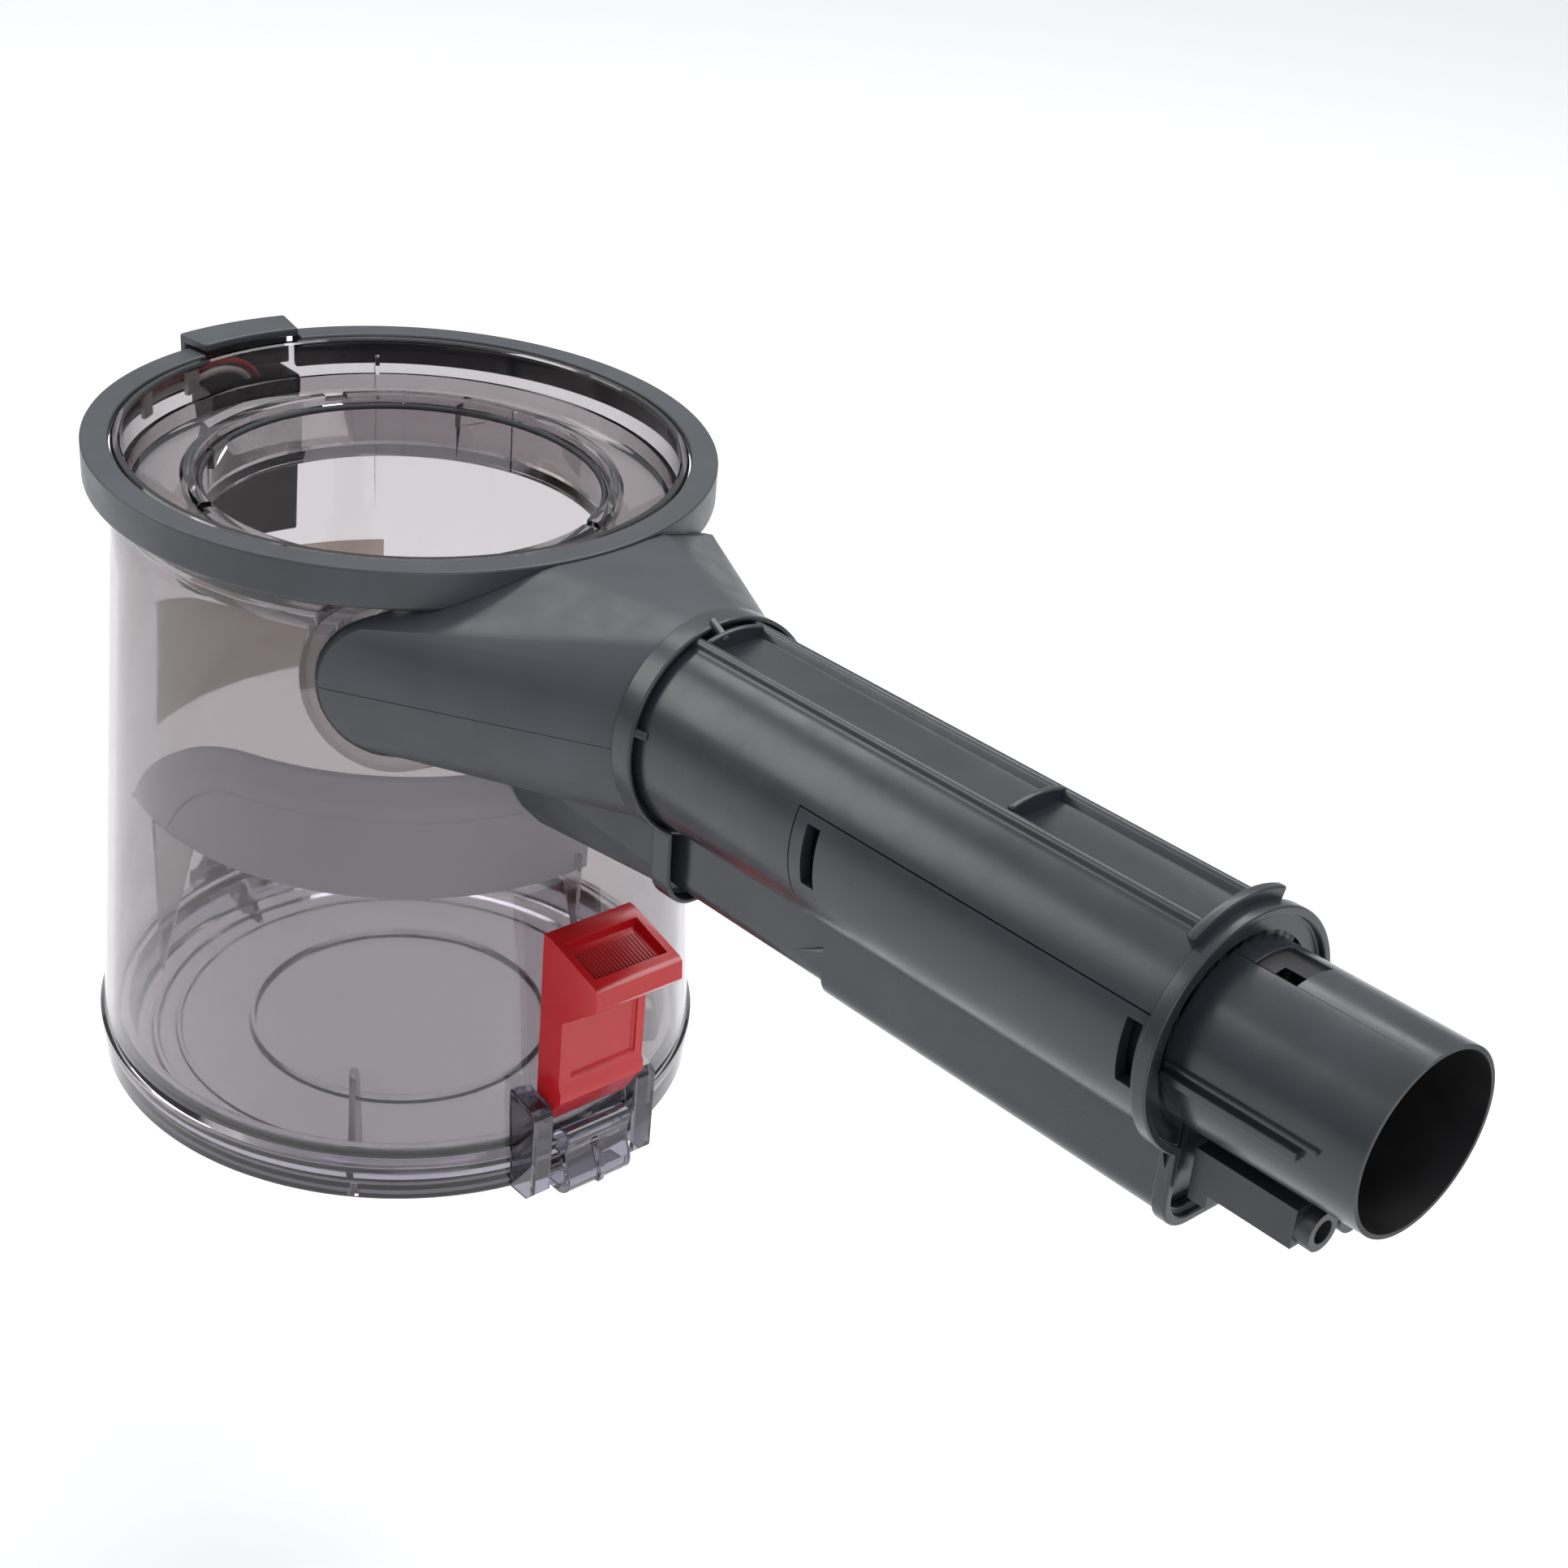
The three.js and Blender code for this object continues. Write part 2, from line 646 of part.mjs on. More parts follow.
// ---- Baffle -------------------------------------------------------------------------------------
function makeVoluteBaffle() {
  const outer = (z) => binRadius(z) - binWall - gap;
  const inset = outer(baffleTop) - baffleSet;
  const ring = turned([
    [inset - 0.4, baffleBottom],
    [inset + baffleWall - 0.4, baffleBottom],
    [inset + baffleWall, baffleShoulder - 2],
    [inset + baffleWall + 0.8, baffleShoulder + 3],
    [outer(baffleTop), baffleTop - 1.6],
    [outer(baffleTop), baffleTop],
    [outer(baffleTop) - 1.6, baffleTop],
    [inset + 0.6, baffleShoulder + 4],
    [inset, baffleShoulder],
  ]);
  const band = ring.intersect(wedge(baffleArc.from, baffleArc.to, baffleBottom - 1, baffleTop + 1));
  const fins = baffleFins.map(({ angle, drop }) => {
    const reach = inset + baffleWall;
    const points = [];
    for (const side of [-0.8, 0.8]) {
      points.push(polar(reach, angle + side, baffleBottom + 6));
      points.push(polar(reach - 9, angle + side, baffleBottom + 6));
      points.push(polar(reach, angle + side, baffleBottom - drop));
    }
    return hull(points);
  });
  return unite(band, ...fins);
}

// ---- Lid ----------------------------------------------------------------------------------------
function makeLid() {
  const rim = jointHeight - gap;
  const upstand = lidUpstandRadius;
  const inner = upstand - lidUpstandWall;
  const disc = turned([
    [0, 0],
    [lidRadius - 0.8, 0],
    [lidRadius, 0.8],
    [lidRadius, rim],
    [inner, rim],
    [inner, lidThickness],
    [lidRingRadius + lidRingHalfWidth + 0.1, lidThickness],
    [lidRingRadius + lidRingHalfWidth, lidRingHeight],
    [lidRingRadius - lidRingHalfWidth, lidRingHeight],
    [lidRingRadius - lidRingHalfWidth - 0.1, lidThickness],
    [0, lidThickness],
  ]);
  const sealLand = turned([
    [inner, rim - 1],
    [upstand, rim - 1],
    [upstand, lidUpstandHeight],
    [upstand - 1.2, lidUpstandHeight + 0.4],
    [inner, lidUpstandHeight],
  ]);
  const fins = lidFins.map(({ angle, height }) => {
    const points = [];
    for (const side of [-lidFinHalfThickness, lidFinHalfThickness]) {
      const shift = polar(side, angle + 90, 0);
      points.push(polar(upstand - 2.6, angle, lidThickness - 1).add(shift));
      points.push(polar(upstand - 13, angle, lidThickness - 1).add(shift));
      points.push(polar(upstand - 4.6, angle, height).add(shift));
      points.push(polar(upstand - 8, angle, height - 2.5).add(shift));
    }
    return hull(points);
  });
  const hinge = knuckle(-lidKnuckleHalfWidth, lidKnuckleHalfWidth, -lidRadius + 2, rim);
  const aroundHinge = box(
    hingeReach - 2 * hingeRadius, -lidRadius + 2,
    -hingeHalfWidth - gap, hingeHalfWidth + gap,
    -1, jointHeight,
  );
  const clearance = cut(aroundHinge, box(
    hingeReach - 3 * hingeRadius, 0, -lidKnuckleHalfWidth, lidKnuckleHalfWidth, -2, jointHeight + 1,
  ));
  const frontHalf = earOuter + 1.7;
  const front = box(catchPivot.x - 2, lidRadius + 4, -frontHalf, frontHalf, -1, jointHeight);
  const body = cut(unite(disc, sealLand, ...fins), clearance);
  return cut(unite(body, hinge), hingeBore(), front);
}

function makeLidSeal() {
  const z = lidUpstandHeight - 1.8;
  const inner = lidUpstandRadius + gap;
  const outer = binRadius(z) - binWall - gap;
  return turned([
    [inner, z - 1.6], [outer - 0.6, z - 1.6], [outer, z - 0.4], [outer, z + 0.6],
    [outer - 0.6, z + 1.2], [inner, z + 1.2],
  ]);
}

function makeLidCatch() {
  const half = catchWidth / 2;
  const { x } = catchPivot;
  const z = jointHeight;
  const arm = sideProfile([
    [x - 1.7, 0.2],
    [x + 3.2, 0.2],
    [x + 6.4, 2.6],
    [x + 7, z - 1.3],
    [x + 5.4, z + 4.7],
    [x + 5.6, z + 8.3],
    [x + 4.2, z + 10.3],
    [x + 2.2, z + 10.6],
    [x + 0.6, z + 9.1],
    [x - 1.2, z + 5.7],
    [x - 1.2, z + 3.3],
    [x + 1.2, z + 3],
    [x + 3.2, z + 2.9],
    [x + 4.7, z - 1.5],
    [x + 4.4, 4],
    [x + 2.4, 2.2],
    [x - 1.7, 2.4],
  ], -half, half);
  const rib = sideProfile([
    [x + 4.2, 3],
    [x + 6.6, 2.8],
    [x + 7.8, z - 1.3],
    [x + 6, z + 4.7],
    [x + 5.8, z + 7.7],
    [x + 4.2, z + 6.7],
  ], -0.8, 0.8);
  return unite(arm, rib);
}

function makeHingePin() {
  const centre = new THREE.Vector3(hingeReach, 0, hingeHeight);
  return bar(hingePinRadius, 2 * hingeHalfWidth, centre, acrossTube, pinSegments);
}

// ---- Release slider -----------------------------------------------------------------------------
function makeReleaseButton() {
  const half = sliderWidth / 2;
  const back = binRadius(sliderTop) - 1;
  const body = sideProfile([
    [back, sliderBottom],
    [sliderFace - 4.6, sliderBottom],
    [sliderFace - 1, sliderBottom + 6],
    [sliderFace + 0.8, sliderBottom + 8.5],
    [sliderFace + 0.8, sliderBottom + 11],
    [sliderFace - 0.4, sliderBottom + 12.5],
    [sliderFace - 0.4, sliderTop - 18],
    [padReach, sliderTop - 10],
    [padReach + 0.6, sliderTop - 8.5],
    [padReach + 0.2, sliderTop - 4.6],
    [padReach - 0.8, sliderTop - 3.6],
    [sliderFace - 3.2, sliderTop + 0.2],
    [back, sliderTop - 1],
  ], -half, half);
  const thumb = sideProfile([
    [sliderFace - 0.6, sliderTop - 2.1],
    [padReach - 3.4, sliderTop - 4.6],
    [padReach - 3.4, sliderTop + 1],
    [sliderFace - 0.6, sliderTop + 3],
  ], -half + thumbMargin, half - thumbMargin);
  const railSlot = box(
    0, sliderFace - 2, -railHalfWidth - gap, railHalfWidth + gap,
    sliderBottom - through, springSeat.z + springSeat.length,
  );
  const wallRoom = coneSolid(gap + sliderTravel * binTaper, 0, binHeight);
  return cut(body, thumb, railSlot, wallRoom);
}

/** A coil that pushes the slider up off its seat on the bin. */
class Coil extends THREE.Curve {
  constructor(radius, length, turns) {
    super();
    Object.assign(this, { radius, length, turns });
  }

  getPoint(t) {
    const angle = 2 * Math.PI * this.turns * t;
    return new THREE.Vector3(this.radius * Math.cos(angle), this.radius * Math.sin(angle), this.length * t);
  }
}

function makeReleaseSpring() {
  const { x, z, radius, wire, length, turns } = springSeat;
  const height = length - 2 * wire - 2 * gap;
  const coil = swept(new Coil(radius, height, turns), wire, 12 * turns, 6);
  return coil.translate([x, 0, z + wire]);
}

// ---- Hood and tube ------------------------------------------------------------------------------
function makeInletHood() {
  const flangeEnd = tubeStart - gap;
  const flange = lobedTube(flangeRadius, flangeEnd - flangeThickness, flangeEnd);
  const outside = unite(hoodOutside(), hoodKeel(), flange);
  const bin = coneSolid(gap, 0, binHeight);
  const { low, high } = hoodSealBand;
  const grooveWall = coneSleeve(0, hoodSealWidth + gap, low - 1, high + 1);
  const sealGroove = airWay(-hoodSealWidth - gap).intersect(grooveWall);
  const collar = turned([
    [0, binHeight - collarHeight - gap],
    [collarRadius + gap, binHeight - collarHeight - gap],
    [collarRadius + gap, binHeight + tubeRadius],
    [0, binHeight + tubeRadius],
  ]);
  const spigotSocket = tubeRod(spigotRadius + gap, tubeStart - spigotInset, flangeEnd + through);
  const roomStart = flangeEnd - 26;
  const keelRoom = lobe(roomStart, flangeEnd + through, hoodWall);
  const keelRoof = tubeRod(tubeRadius - 1, roomStart - through, flangeEnd + through);
  const wireWay = cut(keelRoom, keelRoof);
  const rooms = [bin, collar, airWay(), sealGroove, spigotSocket, wireWay, ...wireTunnels()];
  return cut(outside, ...rooms);
}

function makeHoodSeal() {
  const rim = airWay(-hoodSealWidth);
  const sleeve = coneSleeve(gap, hoodSealWidth, hoodSealBand.low, hoodSealBand.high);
  return rim.intersect(sleeve).subtract(airWay(gap + 0.1));
}

function tubeRidges() {
  const crest = tubeRadius - 0.6;
  const half = grooveWidth / 2;
  return [-1, 1].map((side) => {
    const y = [side * half, side * (half + ridgeWidth)].sort((a, b) => a - b);
    return tubeBox(tubeStart, tubeEnd - endFlangeThickness, y[0], y[1], tubeRadius - 4, crest);
  });
}

function snapWindows(side) {
  const y = [side * (tubeRadius - 5), side * (tubeRadius + 5)].sort((a, b) => a - b);
  const top = coverHeight - 2;
  return [coverStart + snapWindow.inset, tubeEnd - snapWindow.endInset].map((from) => (
    tubeBox(from, from + snapWindow.length, y[0], y[1], top - snapWindow.height, top)
  ));
}

function makeTubeBody() {
  const skin = lobedTube(tubeRadius, tubeStart, tubeEnd);
  const room = tubeRod(tubeRadius - tubeWall, tubeStart - through, tubeEnd + through);
  const wireRoom = lobe(tubeStart - through, tubeEnd + through, tubeWall);
  const grooveEnd = tubeEnd - endFlangeThickness;
  const floorTop = tubeRadius - grooveDepth;
  const half = grooveWidth / 2;
  const groove = tubeBox(tubeStart + 4, grooveEnd, -half, half, floorTop, tubeRadius + wide);
  const grooveFloor = tubeBox(tubeStart, tubeEnd, -half - 2, half + 2, floorTop - tubeWall, floorTop);
  const endFlange = tubeRod(flangeRadius, grooveEnd, tubeEnd);
  const endArc = cut(
    tubeRod(flangeRadius + 2.6, tubeEnd - 5, tubeEnd - 1.4),
    tubeBox(tubeEnd - 9, tubeEnd + 9, -wide, wide, -wide, tubeRadius - 4),
  );
  const web = tubeBox(webStart, webStart + webThickness, -half, half, floorTop - 1, tubeRadius + 1.6);
  const coverEnd = grooveEnd - gap;
  const coverRoom = tubeBox(coverStart, coverEnd, -wide, wide, -wide, coverHeight);
  const lowerFlange = tubeBox(coverEnd - 1, tubeEnd + through, -wide, wide, -wide, -tubeRadius + 2);
  const spigotGap = tubeRod(spigotRadius + gap, tubeStart - through, tubeEnd + through);
  const outside = cut(unite(cut(unite(skin, ...tubeRidges()), groove), endFlange, endArc), room);
  const floored = unite(outside, grooveFloor.intersect(tubeRod(tubeRadius, tubeStart, tubeEnd)), web);
  const endRing = cut(tubeRod(tubeRadius - 1, tubeEnd - 2, tubeEnd), spigotGap);
  return cut(unite(floored, endRing), wireRoom, coverRoom, lowerFlange, spigotGap);
}

function makeSpigotTube() {
  const start = tubeStart - spigotInset + 2 * gap;
  const outer = tubeRod(spigotRadius, start, spigotEnd);
  const bore = tubeRod(boreRadius, start - through, spigotEnd + through);
  const from = tubeEnd + spigotRib.start;
  const ribs = [-1, 1].map((side) => {
    const foot = side * (spigotRadius - 0.8);
    const edge = side * (spigotRadius + spigotRib.height);
    const y = [foot, edge].sort((a, b) => a - b);
    return tubeBox(from, from + spigotRib.length, y[0], y[1], -spigotRib.width, 0);
  });
  return cut(unite(outer, ...ribs), bore);
}

function makeCableCover() {
  const from = coverStart + gap;
  const to = tubeEnd - endFlangeThickness - 2 * gap;
  const skin = lobedTube(tubeRadius, from, to);
  const room = unite(
    tubeRod(tubeRadius - tubeWall, from - through, to + through),
    lobe(from - through, to + through, tubeWall),
  );
  const upper = tubeBox(from - through, to + through, -wide, wide, coverHeight - gap, wide);
  const lipRoom = unite(
    lobe(to - coverLip, tubeEnd + through, tubeWall),
    tubeRod(flangeRadius + gap, to - coverLip, tubeEnd + through),
  );
  const shell = cut(skin, room, upper, ...snapWindows(-1), ...snapWindows(1));
  return unite(shell, cut(lobe(to - 1, tubeEnd), lipRoom));
}

function connectorPin(side, from, to, radius) {
  const y = side * connector.poleSpread;
  const z = connector.top - connector.height / 2;
  const geometry = new THREE.CylinderGeometry(radius, radius, to - from, boltSegments);
  geometry.rotateZ(-Math.PI / 2);
  geometry.translate((from + to) / 2, y, z);
  return onTube(geometry);
}

function makeConnectorBlock() {
  const { start, end, half, top, shoulder, head, headDrop } = connector;
  const { slotHalf, slotDepth, bore, boreDepth } = connector;
  const bottom = top - connector.height;
  const body = tubeBox(start + shoulder, end, -half, half, bottom, top);
  const collar = tubeBox(start, start + head, -half, half, bottom - headDrop, top);
  const slot = tubeBox(end - slotDepth, end + through, -slotHalf, slotHalf, bottom - through, top + through);
  const bores = [-1, 1].map((side) => connectorPin(side, end - boreDepth, end + through, bore));
  return cut(unite(body, collar), slot, ...bores, ...wireTunnels());
}

function makeSocketContact(side) {
  const { inner, outer } = contactInset;
  return connectorPin(side, connector.end - inner, connector.end - outer, contactRadius);
}

// ---- Spine at the back --------------------------------------------------------------------------
const spineTop = binHeight - collarHeight - gap;
const spineBack = binRadius(spineBottom) + gap + spineDepth;

/** The space of one supply contact in the spine's outer face, or the contact itself. */
function supplyBox(side, half, outer, inner, drop, height) {
  const y = side * supply.spread;
  const top = spineTop - drop;
  return box(-spineBack + outer, -spineBack + inner, y - half, y + half, top - height, top);
}

function makeSpineHousing() {
  const half = spineHalfWidth;
  const root = -seatRadius;
  const block = prism([
    [root, -half], [root, half], [-spineBack + spineEdge, half], [-spineBack, half - spineEdge],
    [-spineBack, -half + spineEdge], [-spineBack + spineEdge, -half],
  ], spineBottom, spineTop);
  const { socketHalf, depth, drop, height } = supply;
  const sockets = [-1, 1].map((side) => supplyBox(side, socketHalf, -through, depth, drop, height));
  return cut(block, coneSolid(gap, 0, binHeight), ...sockets, ...wireTunnels(), ...spineScrewHoles());
}

const backward = new THREE.Vector3(-1, 0, 0);

/** A screw that points out of the back, or with a gap the hole that it and its driver need. */
function spineScrew(z, clearance = 0, driverRoom = 0) {
  const { shank, head, headHeight, length, stand } = screwSize;
  const centre = new THREE.Vector3(-(binRadius(z) + gap + stand), 0, z);
  const room = Math.max(headHeight, driverRoom);
  const headLength = room + 2 * clearance;
  const headCentre = centre.clone().addScaledVector(backward, length / 2 - 0.2 + room / 2);
  return unite(
    bar(shank + clearance, length + 2 * clearance, centre, backward, boltSegments),
    bar(head + clearance, headLength, headCentre, backward, noseSegments),
  );
}

function spineScrewHoles() {
  return spineScrews.map((z) => spineScrew(z, gap, screwSize.driverRoom));
}

function makeSupplyContact(side) {
  const { contactHalf, depth, drop, height } = supply;
  return supplyBox(side, contactHalf, 0.8, depth - gap, drop + 1, height - 2);
}

// ---- Small pieces -------------------------------------------------------------------------------
function makeWireClip(angle) {
  const low = binHeight - collarHeight + 0.4;
  const ring = turned([
    [binRadius(low) + gap, low],
    [wireChannelRadius - gap, low],
    [wireChannelRadius - gap, binHeight - collarWall - gap],
    [binRadius(low) + gap, binHeight - collarWall - gap],
  ]);
  const slice = wedge(angle - clipHalfAngle, angle + clipHalfAngle, low - 1, binHeight + 1);
  return cut(ring.intersect(slice), ...wireTunnels());
}

function makeLabel() {
  const low = labelTop - labelHeight;
  const sleeve = coneSleeve(gap, gap + labelThickness, low, labelTop);
  return sleeve.intersect(wedge(180 - labelHalfAngle, 180 + labelHalfAngle, low - 1, labelTop + 1));
}

// ---- Scene --------------------------------------------------------------------------------------
function mesh(name, body, material) {
  const data = body.getMesh();
  const geometry = new THREE.BufferGeometry();
  geometry.setAttribute('position', new THREE.BufferAttribute(new Float32Array(data.vertProperties), 3));
  geometry.setIndex(new THREE.BufferAttribute(new Uint32Array(data.triVerts), 1));
  geometry.computeVertexNormals();
  const piece = new THREE.Mesh(geometry, material);
  piece.name = name;
  return piece;
}

const part = new THREE.Group();

part.add(mesh('bin_shell', makeBinShell(), clear()));
part.add(mesh('top_collar', makeTopCollar(), slate()));
part.add(mesh('rim_cover', makeRimCover(), slate()));
part.add(mesh('cyclone_seat', makeCycloneSeat(), clear()));
part.add(mesh('seat_seal', makeSeatSeal(), rubber()));
part.add(mesh('volute_baffle', makeVoluteBaffle(), clear()));
part.add(mesh('spine_housing', makeSpineHousing(), black()));
part.add(mesh('spine_screw_lower', spineScrew(spineScrews[0]), steel()));
part.add(mesh('spine_screw_upper', spineScrew(spineScrews[1]), steel()));
part.add(mesh('supply_contact_left', makeSupplyContact(-1), brass()));
part.add(mesh('supply_contact_right', makeSupplyContact(1), brass()));
part.add(mesh('label_blank', makeLabel(), plastic('#b5aca2', 0.6)));

part.add(mesh('inlet_hood', makeInletHood(), slate()));
part.add(mesh('hood_seal', makeHoodSeal(), rubber()));
part.add(mesh('tube_body', makeTubeBody(), slate()));
part.add(mesh('spigot_tube', makeSpigotTube(), slate()));
part.add(mesh('cable_cover', makeCableCover(), slate()));
part.add(mesh('connector_block', makeConnectorBlock(), black()));
part.add(mesh('socket_contact_left', makeSocketContact(-1), brass()));
part.add(mesh('socket_contact_right', makeSocketContact(1), brass()));

part.add(mesh('red_wire', swept(redRun, wireRadius, wireSteps, 6), red()));
part.add(mesh('white_wire', swept(whiteRun, wireRadius, wireSteps, 6), plastic('#e8e4de', 0.4)));
part.add(mesh('wire_clip_a', makeWireClip(196), plastic('#e8e4de', 0.4)));
part.add(mesh('wire_clip_b', makeWireClip(212), plastic('#e8e4de', 0.4)));

part.add(mesh('lid', makeLid(), clear()));
part.add(mesh('lid_seal', makeLidSeal(), rubber()));
part.add(mesh('lid_catch', makeLidCatch(), clear()));
part.add(mesh('hinge_pin', makeHingePin(), steel()));
part.add(mesh('release_button', makeReleaseButton(), red()));
part.add(mesh('release_spring', makeReleaseSpring(), steel()));

export default part;
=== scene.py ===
# %% [markdown]
# # A clear dust bin with its inlet tube
# The object is the dust bin of a cordless stick vacuum: a smoky clear cup with a hinged lid, a slate
# collar round its rim, a slate hood on its side and a long slate tube with a wand spigot at the end.
# The CAD model gives every size and joint. This lesson gives each piece its finer shape and finish.

# %% Load the CAD frame
import bpy
import math
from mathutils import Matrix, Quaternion, Vector


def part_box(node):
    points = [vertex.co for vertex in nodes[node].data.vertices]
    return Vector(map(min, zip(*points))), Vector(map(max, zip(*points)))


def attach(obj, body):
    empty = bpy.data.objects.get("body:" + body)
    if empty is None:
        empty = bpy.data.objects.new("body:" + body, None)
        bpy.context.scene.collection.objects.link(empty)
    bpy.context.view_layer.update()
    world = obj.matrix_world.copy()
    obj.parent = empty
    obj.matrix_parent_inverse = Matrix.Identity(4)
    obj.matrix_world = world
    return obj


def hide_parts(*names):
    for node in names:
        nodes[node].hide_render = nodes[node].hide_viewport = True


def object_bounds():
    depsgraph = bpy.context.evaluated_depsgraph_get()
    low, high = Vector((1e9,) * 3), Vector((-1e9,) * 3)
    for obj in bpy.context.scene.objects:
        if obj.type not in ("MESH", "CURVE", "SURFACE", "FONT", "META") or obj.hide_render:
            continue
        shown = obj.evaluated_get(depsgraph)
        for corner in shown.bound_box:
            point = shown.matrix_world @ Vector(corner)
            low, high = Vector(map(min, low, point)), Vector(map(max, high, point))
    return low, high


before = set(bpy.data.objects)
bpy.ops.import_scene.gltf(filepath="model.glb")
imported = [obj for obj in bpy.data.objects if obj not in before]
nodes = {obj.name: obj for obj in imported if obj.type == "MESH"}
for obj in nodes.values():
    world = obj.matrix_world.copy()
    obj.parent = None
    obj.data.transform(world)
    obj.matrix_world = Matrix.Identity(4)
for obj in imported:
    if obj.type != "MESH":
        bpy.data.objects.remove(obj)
cad_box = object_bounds()
mm = 0.001
print("CAD nodes:", len(nodes))

# %% [markdown]
# ## The camera
# The camera stands in front of the bin, to the right and above it, and leans a few degrees, so the
# tube runs down the picture. Its lens is a little longer than normal. The shift keeps the upright
# lines as they are while the bin sits in the middle of the picture.

# %% Camera
camera_place = Vector((432.6, -296.3, 368.4)) * mm
camera_heading = Vector((-0.5800, 0.5848, -0.5671))
camera_lean = math.radians(6.6)
camera_data = bpy.data.cameras.new("bench_camera")
camera_data.lens = 57.95
camera_data.sensor_width = 36
camera_data.shift_x = -0.0076
camera_data.shift_y = 0.1511
camera = bpy.data.objects.new("bench_camera", camera_data)
camera.location = camera_place
lean = Quaternion((0, 0, 1), camera_lean)
camera.rotation_mode = "QUATERNION"
camera.rotation_quaternion = camera_heading.to_track_quat("-Z", "Y") @ lean
bpy.context.scene.collection.objects.link(camera)
bpy.context.scene.camera = camera
print("camera looks along", tuple(round(v, 3) for v in camera_heading))

# %% [markdown]
# ## Light and floor
# A product like this is lit by large soft boxes, so its curved sides carry long, soft highlights.
# The floor is a pale sweep, low enough for the lid to swing open above it. The sky is pale, and
# brighter overhead, so upright sides look deeper.

# %% Colour helper and node helper
def linear(hex_colour):
    """An sRGB colour such as "#4d5154" as linear red, green, blue and alpha."""
    channels = [int(hex_colour[i:i + 2], 16) / 255 for i in (1, 3, 5)]
    curved = [c / 12.92 if c <= 0.04045 else ((c + 0.055) / 1.055) ** 2.4 for c in channels]
    return (*curved, 1.0)


def add_node(tree, kind, settings=None, links=None):
    """Adds a node, sets its properties or its sockets by name, and links its inputs."""
    node = tree.nodes.new(kind)
    for key, value in (settings or {}).items():
        if hasattr(node, key):
            setattr(node, key, value)
        else:
            node.inputs[key].default_value = value
    for key, source in (links or {}).items():
        tree.links.new(source, node.inputs[key])
    return node


def add_range(tree, value, start, end, low, high):
    """Maps a value that runs from start to end on to low to high, and holds it at both ends."""
    settings = {"From Min": start, "From Max": end, "To Min": low, "To Max": high}
    return add_node(tree, "ShaderNodeMapRange", settings, {"Value": value}).outputs["Result"]


# %% Floor, sky and soft boxes
lid_swing_room = 150 * mm         # the open lid hangs this far below the bin
floor_level = cad_box[0][2] - lid_swing_room
bpy.ops.object.select_all(action="DESELECT")
bpy.ops.mesh.primitive_plane_add(size=12, location=(0, 0, floor_level - 0.2 * mm))
floor = bpy.context.object
floor.name = "floor"
floor_paint = bpy.data.materials.new("pale_paper_sweep")
floor_paint.use_nodes = True
floor_shader = floor_paint.node_tree.nodes["Principled BSDF"]
floor_shader.inputs["Base Color"].default_value = linear("#f7f7f7")
floor_shader.inputs["Roughness"].default_value = 0.9
floor.data.materials.append(floor_paint)

world = bpy.data.worlds.new("even_sky")
world.use_nodes = True
sky = world.node_tree
sky.nodes["Background"].inputs["Color"].default_value = linear("#fafbff")
direction = add_node(sky, "ShaderNodeTexCoord")
height = add_node(sky, "ShaderNodeSeparateXYZ", links={"Vector": direction.outputs["Generated"]})
glow = add_range(sky, height.outputs["Z"], 0.0, 0.8, 0.4, 1.0)
sky.links.new(glow, sky.nodes["Background"].inputs["Strength"])
bpy.context.scene.world = world
bpy.context.scene.view_settings.view_transform = "Standard"


def soft_box(name, place, target, size, power, colour, length=None):
    """A square or long area light that faces a point."""
    data = bpy.data.lights.new(name, "AREA")
    data.shape = "RECTANGLE"
    data.size = length or size
    data.size_y = size
    data.energy = power
    data.color = linear(colour)[:3]
    light = bpy.data.objects.new(name, data)
    light.location = place
    light.rotation_euler = (Vector(target) - Vector(place)).to_track_quat("-Z", "Y").to_euler()
    bpy.context.scene.collection.objects.link(light)
    return light


soft_box("box_above", (0.3, 0.7, 1.5), (0.05, 0, 0.08), 0.9, 12, "#ffffff")
soft_box("box_left", (-0.9, -0.8, 0.9), (0, 0, 0.08), 0.7, 5, "#ffffff")
soft_box("box_right", (1.2, -0.5, 0.5), (0.1, 0, 0.1), 0.6, 3, "#f4f7ff")
soft_box("strip_above", (-0.7, 0.4, 1.25), (0.12, 0, 0.15), 0.2, 5, "#ffffff", length=1.3)
print("lights are in place")

# %% [markdown]
# ## Finishes
# Each finish is built on one Principled shader. Slow, soft noise shifts the colour and the roughness
# a little, as moulding and handling do, and a fine noise raises the grain of the mould.

# %% Plastic finishes
def grain_scale(size_mm):
    """Noise scale, in features per metre, for a feature of this size in millimetres."""
    return 1000 / size_mm


def add_noise(tree, place, size_mm, detail):
    """Soft noise in the piece's own space, with features of a size in millimetres."""
    settings = {"Scale": grain_scale(size_mm), "Detail": detail}
    links = {"Vector": place.outputs["Object"]}
    return add_node(tree, "ShaderNodeTexNoise", settings, links).outputs["Fac"]


def add_mix(tree, factor, first, second):
    """Blends from a first colour, or from another mix, to a second colour."""
    mix = add_node(tree, "ShaderNodeMix", {"data_type": "RGBA"}, {"Factor": factor})
    if isinstance(first, tuple):
        mix.inputs[6].default_value = first
    else:
        tree.links.new(first, mix.inputs[6])
    mix.inputs[7].default_value = second
    return mix.outputs[2]


def add_bump(tree, shader, height, strength, depth_mm):
    """Raises the surface by a pattern of a given depth."""
    settings = {"Strength": strength, "Distance": depth_mm * mm}
    bump = add_node(tree, "ShaderNodeBump", settings, {"Height": height})
    tree.links.new(bump.outputs["Normal"], shader.inputs["Normal"])


